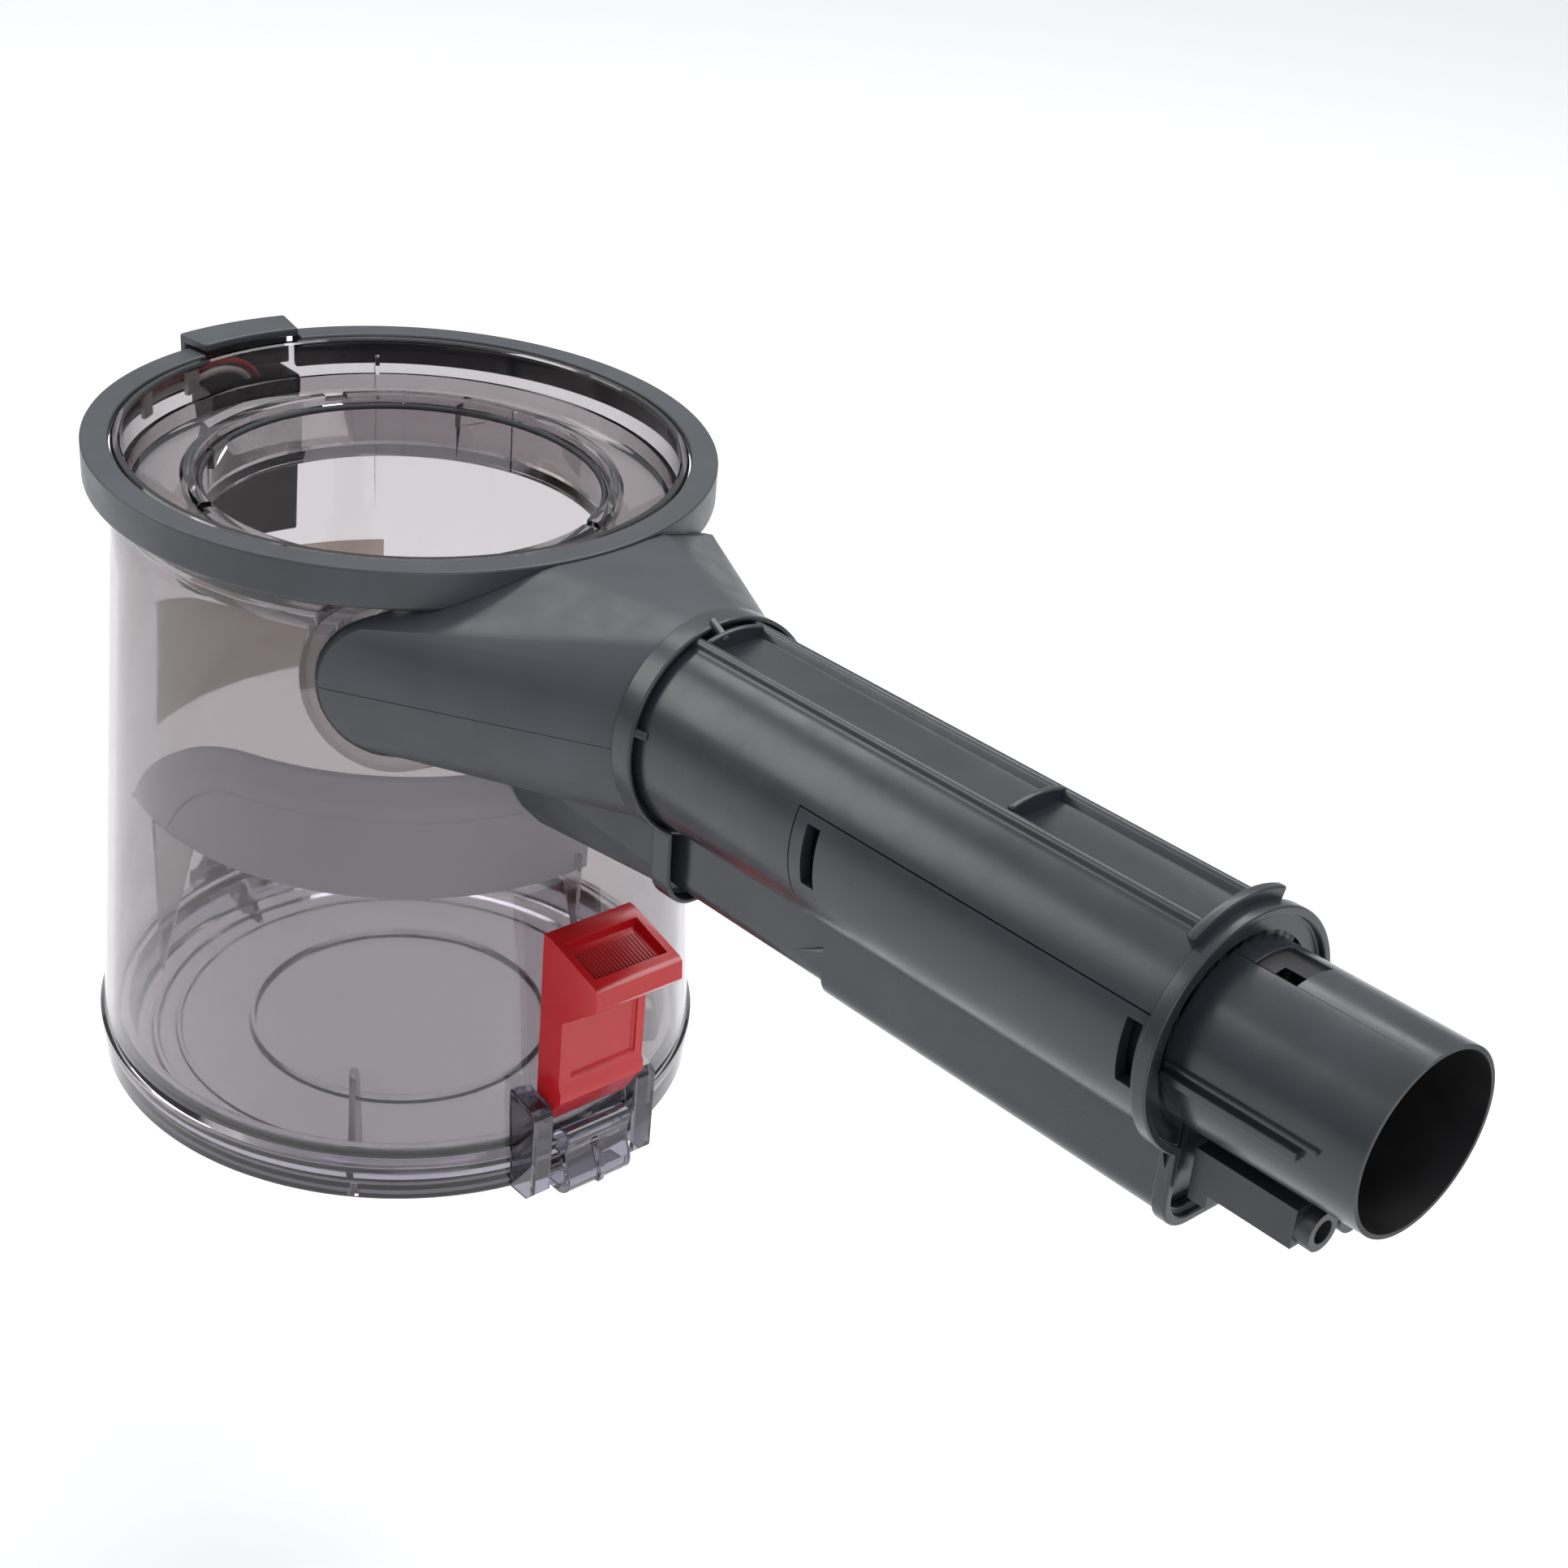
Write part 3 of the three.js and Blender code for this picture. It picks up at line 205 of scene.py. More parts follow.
def moulded(name, colour, worn_colour, roughness, grain_mm, grain_depth_mm, wear=0.35, **sockets):
    """A moulded plastic: cloudy colour, handled gloss, mould grain and paler worn edges."""
    material = bpy.data.materials.new(name)
    material.use_nodes = True
    tree = material.node_tree
    shader = tree.nodes["Principled BSDF"]
    for socket, value in sockets.items():
        shader.inputs[socket.replace("_", " ")].default_value = value
    place = add_node(tree, "ShaderNodeTexCoord")
    shade = add_range(tree, add_noise(tree, place, 18, 3.0), 0.3, 0.7, 0.0, 0.22)
    body = add_mix(tree, shade, linear(colour), linear(worn_colour))
    rounded = add_node(tree, "ShaderNodeBevel", {"samples": 4, "Radius": 0.5 * mm})
    surface = add_node(tree, "ShaderNodeNewGeometry")
    facing = add_node(tree, "ShaderNodeVectorMath", {"operation": "DOT_PRODUCT"})
    tree.links.new(rounded.outputs["Normal"], facing.inputs[0])
    tree.links.new(surface.outputs["Normal"], facing.inputs[1])
    edge = add_range(tree, facing.outputs["Value"], 0.98, 0.80, 0.0, wear)
    worn = add_mix(tree, edge, body, linear(worn_colour))
    tree.links.new(worn, shader.inputs["Base Color"])
    smudge = add_noise(tree, place, 7, 4.0)
    gloss = add_range(tree, smudge, 0.25, 0.75, roughness * 0.85, roughness * 1.2)
    tree.links.new(gloss, shader.inputs["Roughness"])
    add_bump(tree, shader, add_noise(tree, place, grain_mm, 2.0), 0.6, grain_depth_mm)
    return material


def clear_plastic(name, tint, roughness=0.03, ior=1.58, frost=0.0, through=1.0):
    """Smoky polycarbonate: a cloudy tint, deeper where light crosses at a slant, and fine scuffs."""
    material = bpy.data.materials.new(name)
    material.use_nodes = True
    tree = material.node_tree
    shader = tree.nodes["Principled BSDF"]
    shader.inputs["Transmission Weight"].default_value = through
    shader.inputs["IOR"].default_value = ior
    place = add_node(tree, "ShaderNodeTexCoord")
    cloudy = tuple(0.96 * c for c in linear(tint)[:3]) + (1.0,)
    body = add_mix(tree, add_noise(tree, place, 40, 2.0), linear(tint), cloudy)
    slant = add_node(tree, "ShaderNodeLayerWeight", {"Blend": 0.4})
    depth = add_range(tree, slant.outputs["Facing"], 0.3, 0.85, 0.0, 0.85)
    deeper = tuple(0.4 * c for c in linear(tint)[:3]) + (1.0,)
    tree.links.new(add_mix(tree, depth, body, deeper), shader.inputs["Base Color"])
    scuff = add_noise(tree, place, 5, 5.0)
    gloss = add_range(tree, scuff, 0.45, 0.8, roughness, roughness + 0.05 + frost)
    tree.links.new(gloss, shader.inputs["Roughness"])
    add_bump(tree, shader, add_noise(tree, place, 9, 1.0), 0.25, 0.05)
    return material


# %% The finishes of this bin
# Acrylonitrile butadiene styrene (ABS), moulded against a spark-eroded tool: a fine satin grain.
slate_satin = moulded("slate_abs_satin", "#2d3135", "#4e5358", 0.38, 0.45, 0.02, wear=0.25)
# The same slate resin from a smoother tool: the tube and flange carry sharper highlights.
slate_gloss = moulded("slate_abs_polished", "#1f2327", "#41464b", 0.25, 0.9, 0.008, wear=0.2)
# Black ABS for the wiring parts.
black_satin = moulded("black_abs_satin", "#232426", "#3c3d40", 0.38, 0.5, 0.015, wear=0.3)
# Red ABS, polished: deep colour with a soft gloss and lighter edges.
red_gloss = moulded("red_abs_polished", "#ab0b13", "#c8282f", 0.2, 0.8, 0.005, wear=0.2)
# Nitrile rubber, moulded matt, for the seals.
seal_rubber = moulded("nitrile_seal_rubber", "#202124", "#37383b", 0.62, 0.6, 0.02, wear=0.15)
# Steel with a bright zinc plate, and brass stamped from strip.
zinc_steel = moulded("zinc_plated_steel", "#b4b6b8", "#d2d3d4", 0.30, 0.4, 0.01, wear=0.3, Metallic=1.0)
contact_brass = moulded("stamped_brass", "#c9a24e", "#e0c583", 0.28, 0.4, 0.01, wear=0.3, Metallic=1.0)
# Soft PVC, drawn over the wires.
red_sleeve = moulded("red_pvc_sleeve", "#b8202a", "#cc4a50", 0.35, 1.2, 0.01, wear=0.1)
white_sleeve = moulded("white_pvc_sleeve", "#dcd7cf", "#efece6", 0.35, 1.2, 0.01, wear=0.1)
# Natural nylon, moulded, for the clips.
nylon_white = moulded("natural_nylon", "#dedbd2", "#efece6", 0.4, 0.8, 0.01, wear=0.2)
# Polyester label film, and then the polycarbonate of the bin.
label_film = clear_plastic("blank_label_film", "#d6cabc", roughness=0.45, ior=1.45, frost=0.1,
                           through=0.8)
smoke_clear = clear_plastic("smoky_polycarbonate", "#c2bdbe", ior=1.5)
# The lid is the same resin, tinted deeper than the wall as painted shade of the dim space under the bin.
smoke_lid_painted_shade = clear_plastic("smoky_polycarbonate_lid_painted_shade", "#aaa6ac")
# The baffle is moulded against a blasted tool, so it scatters the light. Its tints are painted light and
# shade: a near-white band for a silvery sheen, and a darker matt fillet.
smoke_matt_painted_shade = clear_plastic("smoky_polycarbonate_matt_painted_shade", "#c4c1ca", roughness=0.3, frost=0.05,
                            through=0.3)
smoke_band_painted_light = clear_plastic("smoky_polycarbonate_painted_sheen", "#f4f2fa", roughness=0.2, through=0.2)
# Thick sections of the same resin, seen edge on, are the darkest.
smoke_edge = clear_plastic("smoky_polycarbonate_thick", "#85828f")
# A darker red for the ribbed thumb hollow, and near-black for the bore: both painted shade, where little
# light reaches.
red_hollow_painted_shade = moulded("red_abs_ribbed_painted_shade", "#8a0a10", "#a01c22", 0.35, 0.6, 0.01, wear=0.1)
bore_painted_shade = moulded("black_bore_painted_shade", "#0e0e10", "#1a1a1c", 0.5, 0.8, 0.01, wear=0.1)
print("materials:", len(bpy.data.materials))

# %% [markdown]
# ## Ways of making a shape
# Most pieces here are either turned, like a pot, or pushed out of a drawn side view. Both start
# from one point, which is drawn out into an outline by extruding it from corner to corner. A turned
# piece then spins that outline round the bin's axis. A pushed piece fills it and extrudes the face.

# %% Drawing, turning and pushing
def first_point(name, place):
    """Adds a small plane, merges its corners into one point and stays in edit mode there."""
    bpy.ops.object.select_all(action="DESELECT")
    bpy.ops.mesh.primitive_plane_add(size=mm, location=(0, 0, 0))
    piece = bpy.context.object
    piece.name = name
    bpy.ops.object.mode_set(mode="EDIT")
    bpy.ops.mesh.select_all(action="SELECT")
    bpy.ops.mesh.merge(type="CENTER")
    bpy.ops.mesh.select_all(action="SELECT")
    bpy.ops.transform.translate(value=place)
    return piece


def draw_outline(name, places, closed=True):
    """Extrudes one point along the corners, given in millimetres, and closes the loop."""
    corners = [Vector(place) * mm for place in places]
    if closed:
        corners.append(corners[0])
    piece = first_point(name, corners[0])
    for start, end in zip(corners, corners[1:]):
        bpy.ops.mesh.extrude_region_move(TRANSFORM_OT_translate={"value": end - start})
    bpy.ops.mesh.select_all(action="SELECT")
    bpy.ops.mesh.remove_doubles(threshold=0.002 * mm)
    return piece


def seal_mesh():
    """Merges doubled points, turns every face outwards and leaves edit mode."""
    bpy.ops.mesh.select_all(action="SELECT")
    bpy.ops.mesh.remove_doubles(threshold=0.004 * mm)
    bpy.ops.mesh.normals_make_consistent(inside=False)
    bpy.ops.object.mode_set(mode="OBJECT")


round_steps = 144                # facets round the bin: under 3 mm each, and shaded smooth


def turned(name, profile, steps=round_steps, closed=True):
    """Spins an outline of (radius, height) corners, in millimetres, right round the bin's axis."""
    piece = draw_outline(name, [(r, 0, z) for r, z in profile], closed)
    bpy.ops.mesh.select_all(action="SELECT")
    bpy.ops.mesh.spin(steps=steps, angle=math.tau, center=(0, 0, 0), axis=(0, 0, 1))
    seal_mesh()
    return piece


def pushed(name, places, shift):
    """Fills an outline and extrudes the face by a shift, both in millimetres."""
    piece = draw_outline(name, places)
    bpy.ops.mesh.select_all(action="SELECT")
    bpy.ops.mesh.edge_face_add()
    bpy.ops.mesh.extrude_region_move(TRANSFORM_OT_translate={"value": Vector(shift) * mm})
    seal_mesh()
    return piece


def wrapped(name, places):
    """The tightest closed skin round a cloud of points, in millimetres."""
    piece = draw_outline(name, places, closed=False)
    bpy.ops.mesh.select_all(action="SELECT")
    bpy.ops.mesh.convex_hull()
    seal_mesh()
    return piece


def rod(name, radius, length, centre, axis=(0, 0, 1), steps=48, end_radius=None):
    """A round rod with its middle at a place, in millimetres, and its axis along a direction."""
    turn = Vector(axis).to_track_quat("Z", "Y").to_euler()
    bpy.ops.object.select_all(action="DESELECT")
    bpy.ops.mesh.primitive_cone_add(
        vertices=steps, radius1=radius * mm, radius2=(end_radius or radius) * mm,
        depth=length * mm, location=Vector(centre) * mm, rotation=turn)
    bpy.context.object.name = name
    settle(bpy.context.object)
    return bpy.context.object


def block(name, low, high):
    """A rectangular block between two corners, in millimetres."""
    size = Vector(high) - Vector(low)
    centre = (Vector(high) + Vector(low)) / 2
    bpy.ops.object.select_all(action="DESELECT")
    bpy.ops.mesh.primitive_cube_add(size=1, location=centre * mm, scale=size * mm)
    bpy.context.object.name = name
    settle(bpy.context.object)
    return bpy.context.object


def settle(piece):
    """Puts a piece's place, turn and size into its mesh."""
    only(piece)
    bpy.ops.object.transform_apply(location=True, rotation=True, scale=True)


def only(piece):
    """Selects one piece and makes it the active one."""
    bpy.ops.object.select_all(action="DESELECT")
    piece.select_set(True)
    bpy.context.view_layer.objects.active = piece


# %% [markdown]
# Pieces are joined and hollowed with Boolean modifiers. Edges are softened with a Bevel modifier
# that only takes sharp corners, because a moulded edge is never quite sharp and its thin highlight
# is what makes the shape read.

# %% Joining, cutting and rounding
def combine(piece, tool, operation):
    """Applies one Boolean with a tool piece and removes the tool."""
    only(piece)
    step = piece.modifiers.new("combine", "BOOLEAN")
    step.operation = operation
    step.solver = "EXACT"
    step.object = tool
    bpy.ops.object.modifier_apply(modifier=step.name)
    bpy.data.objects.remove(tool)
    return piece


def join(piece, *tools):
    for tool in tools:
        combine(piece, tool, "UNION")
    return piece


def cut(piece, *tools):
    for tool in tools:
        combine(piece, tool, "DIFFERENCE")
    return piece


def soften(piece, width, steps=2, sharp=35, smooth=35, flatten=True):
    """Rounds corners sharper than an angle and shades the rest smooth, led by the large faces."""
    only(piece)
    bpy.ops.object.mode_set(mode="EDIT")
    bpy.ops.mesh.select_all(action="SELECT")
    bpy.ops.mesh.remove_doubles(threshold=0.01 * mm)
    if flatten:
        bpy.ops.mesh.dissolve_limited(angle_limit=math.radians(0.4))
    bpy.ops.object.mode_set(mode="OBJECT")
    step = piece.modifiers.new("soften", "BEVEL")
    step.width = width * mm
    step.segments = steps
    step.limit_method = "ANGLE"
    step.angle_limit = math.radians(sharp)
    step.use_clamp_overlap = True
    step.harden_normals = False
    bpy.ops.object.modifier_apply(modifier=step.name)
    bpy.ops.object.shade_smooth_by_angle(angle=math.radians(smooth))
    even = piece.modifiers.new("even_shading", "WEIGHTED_NORMAL")
    even.keep_sharp = True
    bpy.ops.object.modifier_apply(modifier=even.name)
    return piece


def place_piece(piece, finish, body, node=None):
    """Gives a finished piece its material and its body, and hides the CAD node it stands for."""
    piece.data.materials.clear()
    piece.data.materials.append(finish)
    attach(piece, body)
    if node:
        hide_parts(node)
    print(piece.name, "has", len(piece.data.polygons), "faces")
    return piece


def second_finish(piece, finish, chosen):
    """Gives the faces that a test chooses, by centre and normal, another finish."""
    piece.data.materials.append(finish)
    index = len(piece.data.materials) - 1
    for face in piece.data.polygons:
        if chosen(face.center / mm, face.normal):
            face.material_index = index


# %% [markdown]
# ## Sizes that the pieces share
# The large sizes come from the CAD nodes' own boxes. The few others are written here in
# millimetres, in the words of the CAD model.

# %% Shared sizes
def low_mm(node):
    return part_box(node)[0] / mm


def high_mm(node):
    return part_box(node)[1] / mm


bin_height = high_mm("top_collar").z           # lid underside to collar top
catch_low = low_mm("lid_catch")
collar_radius = high_mm("top_collar").y
collar_bottom = low_mm("top_collar").z
joint_height = 8.3                             # where the wall meets the lid
wall = 2.0
taper = 0.0656                                 # radius lost per millimetre of height
base_radius = 71.8                             # the wall's cone, carried down to the lid's underside
tube_slope = 0.037
tube_start_height = 129.4
tube_radius = 21.4
spigot_mouth = high_mm("spigot_tube").x
spigot_radius = 17.4
bore_radius = 15.9
spigot_start = 97.0                            # where the spigot begins, inside the hood
tube_reach = low_mm("tube_body").x + 0.8       # where the outer tube starts, at the hood
tube_end = high_mm("tube_body").x + 0.8        # where its end flange stops
lobe_half = 10.5                               # the wire lobe under the tube
lobe_depth = 36.5
nose_angle = -36                               # where the hood's nose meets the bin
nose_height = 128.6
nose_radius = 15.5
slide_half = high_mm("release_button").y
back_reach = 90                                # how far cuts reach past the back of the bin
fine_steps = 180                               # facets round the largest turned pieces
print("bin height", round(bin_height, 1), "tube from", round(tube_reach, 1), "to", round(tube_end, 1))


def wall_radius(z):
    """Outside radius of the bin's cone at a height."""
    return base_radius - taper * z


def polar(radius, degrees, z):
    angle = math.radians(degrees)
    return Vector((radius * math.cos(angle), radius * math.sin(angle), z))


tube_pitch = math.atan(tube_slope)
along_tube = Vector((math.cos(tube_pitch), 0, math.sin(tube_pitch)))
above_tube = Vector((-math.sin(tube_pitch), 0, math.cos(tube_pitch)))


def on_tube(reach, across, up):
    """A point given by its distance along the tube, across it, and above its axis."""
    return Vector((0, across, tube_start_height)) + along_tube * reach + above_tube * up


def tube_rod(name, radius, start, end, steps=96, end_radius=None):
    """A round rod on the tube's axis, from one distance along it to another."""
    middle = on_tube((start + end) / 2, 0, 0)
    return rod(name, radius, end - start, middle, along_tube, steps, end_radius)


def spigot_room(start, end, clearance=0.3):
    """Room for the spigot, with a clearance all round."""
    return tube_rod("spigot_room", spigot_radius + clearance, start, end)


def tube_push(name, outline, start, end):
    """Pushes an outline of (across, up) corners along the tube."""
    return pushed(name, [on_tube(start, across, up) for across, up in outline],
                  along_tube * (end - start))


def tube_block(name, start, end, across_low, across_high, low, high):
    outline = [(across_low, low), (across_high, low), (across_high, high), (across_low, high)]
    return tube_push(name, outline, start, end)


def tube_ring(reach, radius, steps=48):
    """Points round the tube's axis."""
    turns = [math.tau * i / steps for i in range(steps)]
    return [on_tube(reach, radius * math.sin(t), radius * math.cos(t)) for t in turns]


def nose_ring(radius, out, steps=48, shift=0):
    """Points of a circle drawn on the bin's side, round the hood's nose."""
    turns = [math.tau * i / steps for i in range(steps)]
    per_mm = 360 / (math.tau * collar_radius)
    return [polar(out, nose_angle + shift + radius * math.sin(t) * per_mm,
                  nose_height + radius * math.cos(t)) for t in turns]


def arc(centre_x, centre_y, radius, start, end, steps):
    """Points of an arc in a drawing, from one angle in degrees to another."""
    turns = [math.radians(start + (end - start) * i / steps) for i in range(steps + 1)]
    return [(centre_x + radius * math.cos(t), centre_y + radius * math.sin(t)) for t in turns]


def on_side(side, inner, outer):
    """Two places across the bin, from the lower to the higher, on the left (-1) or right (1) side."""
    return sorted((side * inner, side * outer))


def back_wedge(name, half_degrees, low, height):
    """An upright wedge that opens from the bin's axis towards its back."""
    half = back_reach * math.tan(math.radians(half_degrees))
    return pushed(name, [(0, 0, low), (-back_reach, -half, low), (-back_reach, half, low)], (0, 0, height))


def upright_slab(name, degrees, inner, outer, half_width, low, height):
    """An upright block whose length points away from the bin's axis at an angle."""
    out = polar(1, degrees, 0)
    across = Vector((-out.y, out.x, 0))
    corners = [out * r + across * s for r, s in ((inner, -half_width), (outer, -half_width),
                                                 (outer, half_width), (inner, half_width))]
    return pushed(name, [(c.x, c.y, low) for c in corners], (0, 0, height))


# %% [markdown]
# ## The clear bin
# The bin is one moulding of smoky polycarbonate, with a wall of 2 mm that narrows a little upwards.
# A turned wall gives it its true thickness, so it bends light at its edges as the real one does.
# The inlet window, the pocket round it, the rear rib and the slider's rail are joined or cut by
# Booleans, because on the real bin they are all one piece.

# %% Shapes of the air way
def air_way(name, grow=0.0):
    """The air's path from the tube to the window in the wall."""
    places = tube_ring(spigot_start - 0.4, bore_radius + 1.6 + grow)
    places += nose_ring(nose_radius - 2.4 + grow, collar_radius - 10, shift=2)
    places += nose_ring(nose_radius - 2.4 + grow, collar_radius - 1.5, shift=2)
    return wrapped(name, places)


def cone(name, offset, low, high):
    """A solid cone that follows the bin's wall at an offset."""
    return turned(name, [(0, low), (wall_radius(low) + offset, low),
                         (wall_radius(high) + offset, high), (0, high)])


# %% Bin wall
def wall_profile():
    rim = bin_height - 0.3
    ledge = bin_height - 17.9
    levels = list(range(16, int(ledge), 6))
    outer = [(wall_radius(joint_height) + 0.8, joint_height),
             (wall_radius(joint_height) + 0.8, joint_height + 2.4),
             (wall_radius(joint_height + 3.6), joint_height + 3.6)]
    outer += [(wall_radius(z), z) for z in levels]
    outer += [(wall_radius(rim - 0.6), rim - 0.6),
              (wall_radius(rim) - 0.5, rim)]
    inner = [(wall_radius(rim) - wall + 0.4, rim),
             (wall_radius(rim) - wall, rim - 0.4),
             (wall_radius(ledge + 3.4) - wall, ledge + 3.4),
             (wall_radius(ledge + 2.8) - wall - 0.9, ledge + 2.8),
             (wall_radius(ledge) - wall, ledge)]
    inner += [(wall_radius(z) - wall, z) for z in reversed(levels)]
    inner += [(wall_radius(joint_height) - wall, joint_height)]
    return outer + inner


bin_wall = turned("bin_wall", wall_profile(), steps=fine_steps)
pocket = wrapped("pocket", nose_ring(nose_radius + 5.6, collar_radius - 6)
                 + nose_ring(nose_radius + 4.0, collar_radius - 1.2)
                 + [polar(collar_radius + 1.0, 8, 146), polar(collar_radius + 1.0, 8, 112)])
cut(pocket, cone("inside", -0.4, 60, bin_height), air_way("way", 1.8))
brow_room = ((-11, 156), (16, 156), (33, 148), (33, 108))
hood_room = wrapped("hood_room", tube_ring(104, 22.9)
                    + nose_ring(nose_radius + 0.4, collar_radius + 1.6)
                    + nose_ring(nose_radius + 0.4, collar_radius - 9, shift=-1)
                    + [polar(collar_radius + 2.8, a, z) for a, z in brow_room]
                    + [polar(collar_radius - 9, a, z) for a, z in brow_room])
cut(pocket, hood_room,
    rod("collar_room", collar_radius + 0.4, 20, (0, 0, collar_bottom + 9.7), steps=round_steps))
print("pocket faces:", len(pocket.data.polygons))
rear_rib = wrapped("rear_rib", [polar(wall_radius(z) - 1.2 - d, 152 + s, z)
                                for z, d, s in ((150, 0, -0.6), (150, 0, 0.6), (150, 3.4, -0.5),
                                                (150, 3.4, 0.5), (108, 0, -0.2), (108, 0, 0.2),
                                                (110, 0.8, -0.1), (110, 0.8, 0.1))])
join(bin_wall, rear_rib)
cut(bin_wall, air_way("window"))
soften(bin_wall, 0.18, steps=2, sharp=40, flatten=False)
place_piece(bin_wall, smoke_clear, "bin", "bin_shell")
soften(pocket, 0.5, steps=3, sharp=40)
place_piece(pocket, smoke_clear, "bin")

# %% [markdown]
# The slider runs between two little brackets with open backs. They are thick and narrow, so the
# smoky resin looks much darker there than in the wall.

# %% Slider guides and rail
def side_push(name, outline, low, high):
    """Pushes a side view of (reach, height) corners from one place across the bin to another."""
    return pushed(name, [(x, low, z) for x, z in outline], (0, high - low, 0))


guide_reach = high_mm("bin_shell").x


def slider_guide(name, side):
    inner, outer = slide_half + 0.3, slide_half + 5.4
    outline = [(68.4, 1.0), (guide_reach - 2.2, 1.0), (guide_reach, 3.4), (guide_reach, 24.4),
               (guide_reach - 1.6, 26.2), (68.4, 27.8)]
    guide = side_push(name, outline, *on_side(side, inner, outer))
    room_low, room_high = on_side(side, inner - 2, outer - 1.3)
    room = block("room", (60, room_low, -4), (guide_reach - 1.4, room_high, 24.6))
    cut(guide, cone("bin_side", 0.15, -3, 60), room)
    return soften(guide, 0.45, steps=3, sharp=50)


for side, name in ((-1, "slider_guide_left"), (1, "slider_guide_right")):
    place_piece(slider_guide(name, side), smoke_edge, "bin")

rail_outline = [(66, 26), (72.6, 26), (76, 36), (76, 39.4), (70.8, 39.4), (67, 66)]
rail = side_push("slider_rail", rail_outline, -3.0, 3.0)
cut(rail, cone("bin_side", 0.15, 0, 90))
place_piece(soften(rail, 0.3, steps=2, sharp=40), smoke_edge, "bin")

# %% [markdown]
# ## The collar and its rear block
# The collar is a slate ring that grips the rim. It is turned, then cut open at the back, where a
# separate block covers the place that the wires come through.

# %% Collar and rim block
rim_inner = wall_radius(bin_height) + 0.4
wedge_low, wedge_height = 140, 30              # enough to pass through the collar's whole height
collar = turned("collar_ring", [
    (rim_inner, bin_height), (rim_inner, bin_height - wall), (collar_radius - 2, bin_height - 2.6),
    (collar_radius - 2, collar_bottom), (collar_radius - 0.15, collar_bottom),
    (collar_radius, collar_bottom + 0.8), (collar_radius, bin_height)], steps=fine_steps)
lug_half_angle = 11.2
cut(collar, back_wedge("opening", lug_half_angle + 0.3, wedge_low, wedge_height))
place_piece(soften(collar, 0.7, steps=4, sharp=40), slate_satin, "bin", "top_collar")

lug_low, lug_high = low_mm("rim_cover"), high_mm("rim_cover")
lug = turned("rim_block", [
    (rim_inner + 0.3, lug_high.z), (rim_inner + 0.3, lug_high.z - 2), (-lug_low.x - 2, lug_high.z - 2),
    (-lug_low.x - 2, lug_low.z), (-lug_low.x, lug_low.z), (-lug_low.x, lug_high.z)], steps=fine_steps)
combine(lug, back_wedge("lug_slice", lug_half_angle, wedge_low, wedge_height), "INTERSECT")
place_piece(soften(lug, 0.6, steps=3, sharp=40), slate_satin, "bin", "rim_cover")

# %% [markdown]
# ## The cyclone seat
# A clear funnel hangs in the bin's mouth and carries a short inner collar, where the machine's
# cyclone plugs in. The collar has a rolled lip, split lines, and four small bayonet ramps.

# %% Cyclone seat
seat_high = high_mm("cyclone_seat")
seat_low = low_mm("cyclone_seat")
seat_rim = seat_high.y
seat_top = 146.5                 # height of the inner collar's lip
seat_bore = 44.6                 # its inside radius, where the cyclone fits
seat = turned("seat_funnel", [
    (seat_bore, seat_low.z + 0.9), (seat_bore + 1.8, seat_low.z), (seat_rim - 0.4, 140.2),
    (seat_rim, 141.0), (seat_rim, 145.6), (seat_rim - 1.4, 145.8), (seat_rim - 1.6, 142.4),
    (seat_rim - 2.6, 141.2), (seat_bore + 3.0, 133.4), (seat_bore + 2.0, 134.6),
    (seat_bore + 1.9, seat_top - 3.6), (seat_bore + 3.2, seat_top - 2.8),
    (seat_bore + 3.2, seat_top - 0.8), (seat_bore + 2.4, seat_top), (seat_bore + 0.4, seat_top),
    (seat_bore, seat_top - 0.4)], steps=fine_steps)


# The lip has four steps, and two split lines run down the inner collar.
for degrees, width in ((-96, 3.0), (24, 2.4), (-14, 9.0), (166, 5.0)):
    cut(seat, upright_slab("notch", degrees, seat_bore - 5, seat_bore + 7, width / 2, seat_top - 1.2, 6))
for degrees in (112, 146):
    cut(seat, upright_slab("split_line", degrees, seat_bore - 0.6, seat_bore + 0.5, 0.25,
                           seat_low.z - 1, 22))


def bayonet_ramp(degrees, rise):
    """A ramp inside the inner collar that draws the cyclone down as it turns."""
    places = []
    for turn, height in ((0, 0.8), (10, 0.8 + rise)):
        for out in (-1.6, 0.6):
            places.append(polar(seat_bore + out, degrees + turn, seat_top - 3 - height))
            places.append(polar(seat_bore + out, degrees + turn, seat_top - 1.6))
    return wrapped("bayonet_ramp", places)


for degrees in (-60, 30, 120, 210):
    join(seat, bayonet_ramp(degrees, 2.6))
place_piece(soften(seat, 0.16, steps=2, sharp=42), smoke_clear, "bin", "cyclone_seat")

seal_z = seat_top - 2.6
seat_gasket = turned("seat_gasket", arc(seat_bore - 0.9, seal_z, 0.7, 0, 330, 11), steps=144)
place_piece(soften(seat_gasket, 0.05, steps=1, sharp=80, smooth=60), seal_rubber, "bin", "seat_seal")

# %% [markdown]
# ## The scroll baffle
# Inside the bin a curved shelf keeps the dust down. It is a band that stands off the wall, with a
# sharp shoulder and a matt fillet that runs back to the wall. Both fall away at its left end, so a
# straight spin is made first and its upper edge is then lowered by a formula round that end.

# %% Scroll baffle
baffle_top = 105.0
shoulder = 96.0                  # height of the sharp edge between fillet and band
band_bottom = 75.5
band_from, band_to = -105, 6     # degrees round the bin


def fall(degrees, start, reach, drop):
    """How far an edge has dropped past the place where it starts to fall."""
    share = max(0.0, (start - degrees) / reach)
    return drop * share ** 2


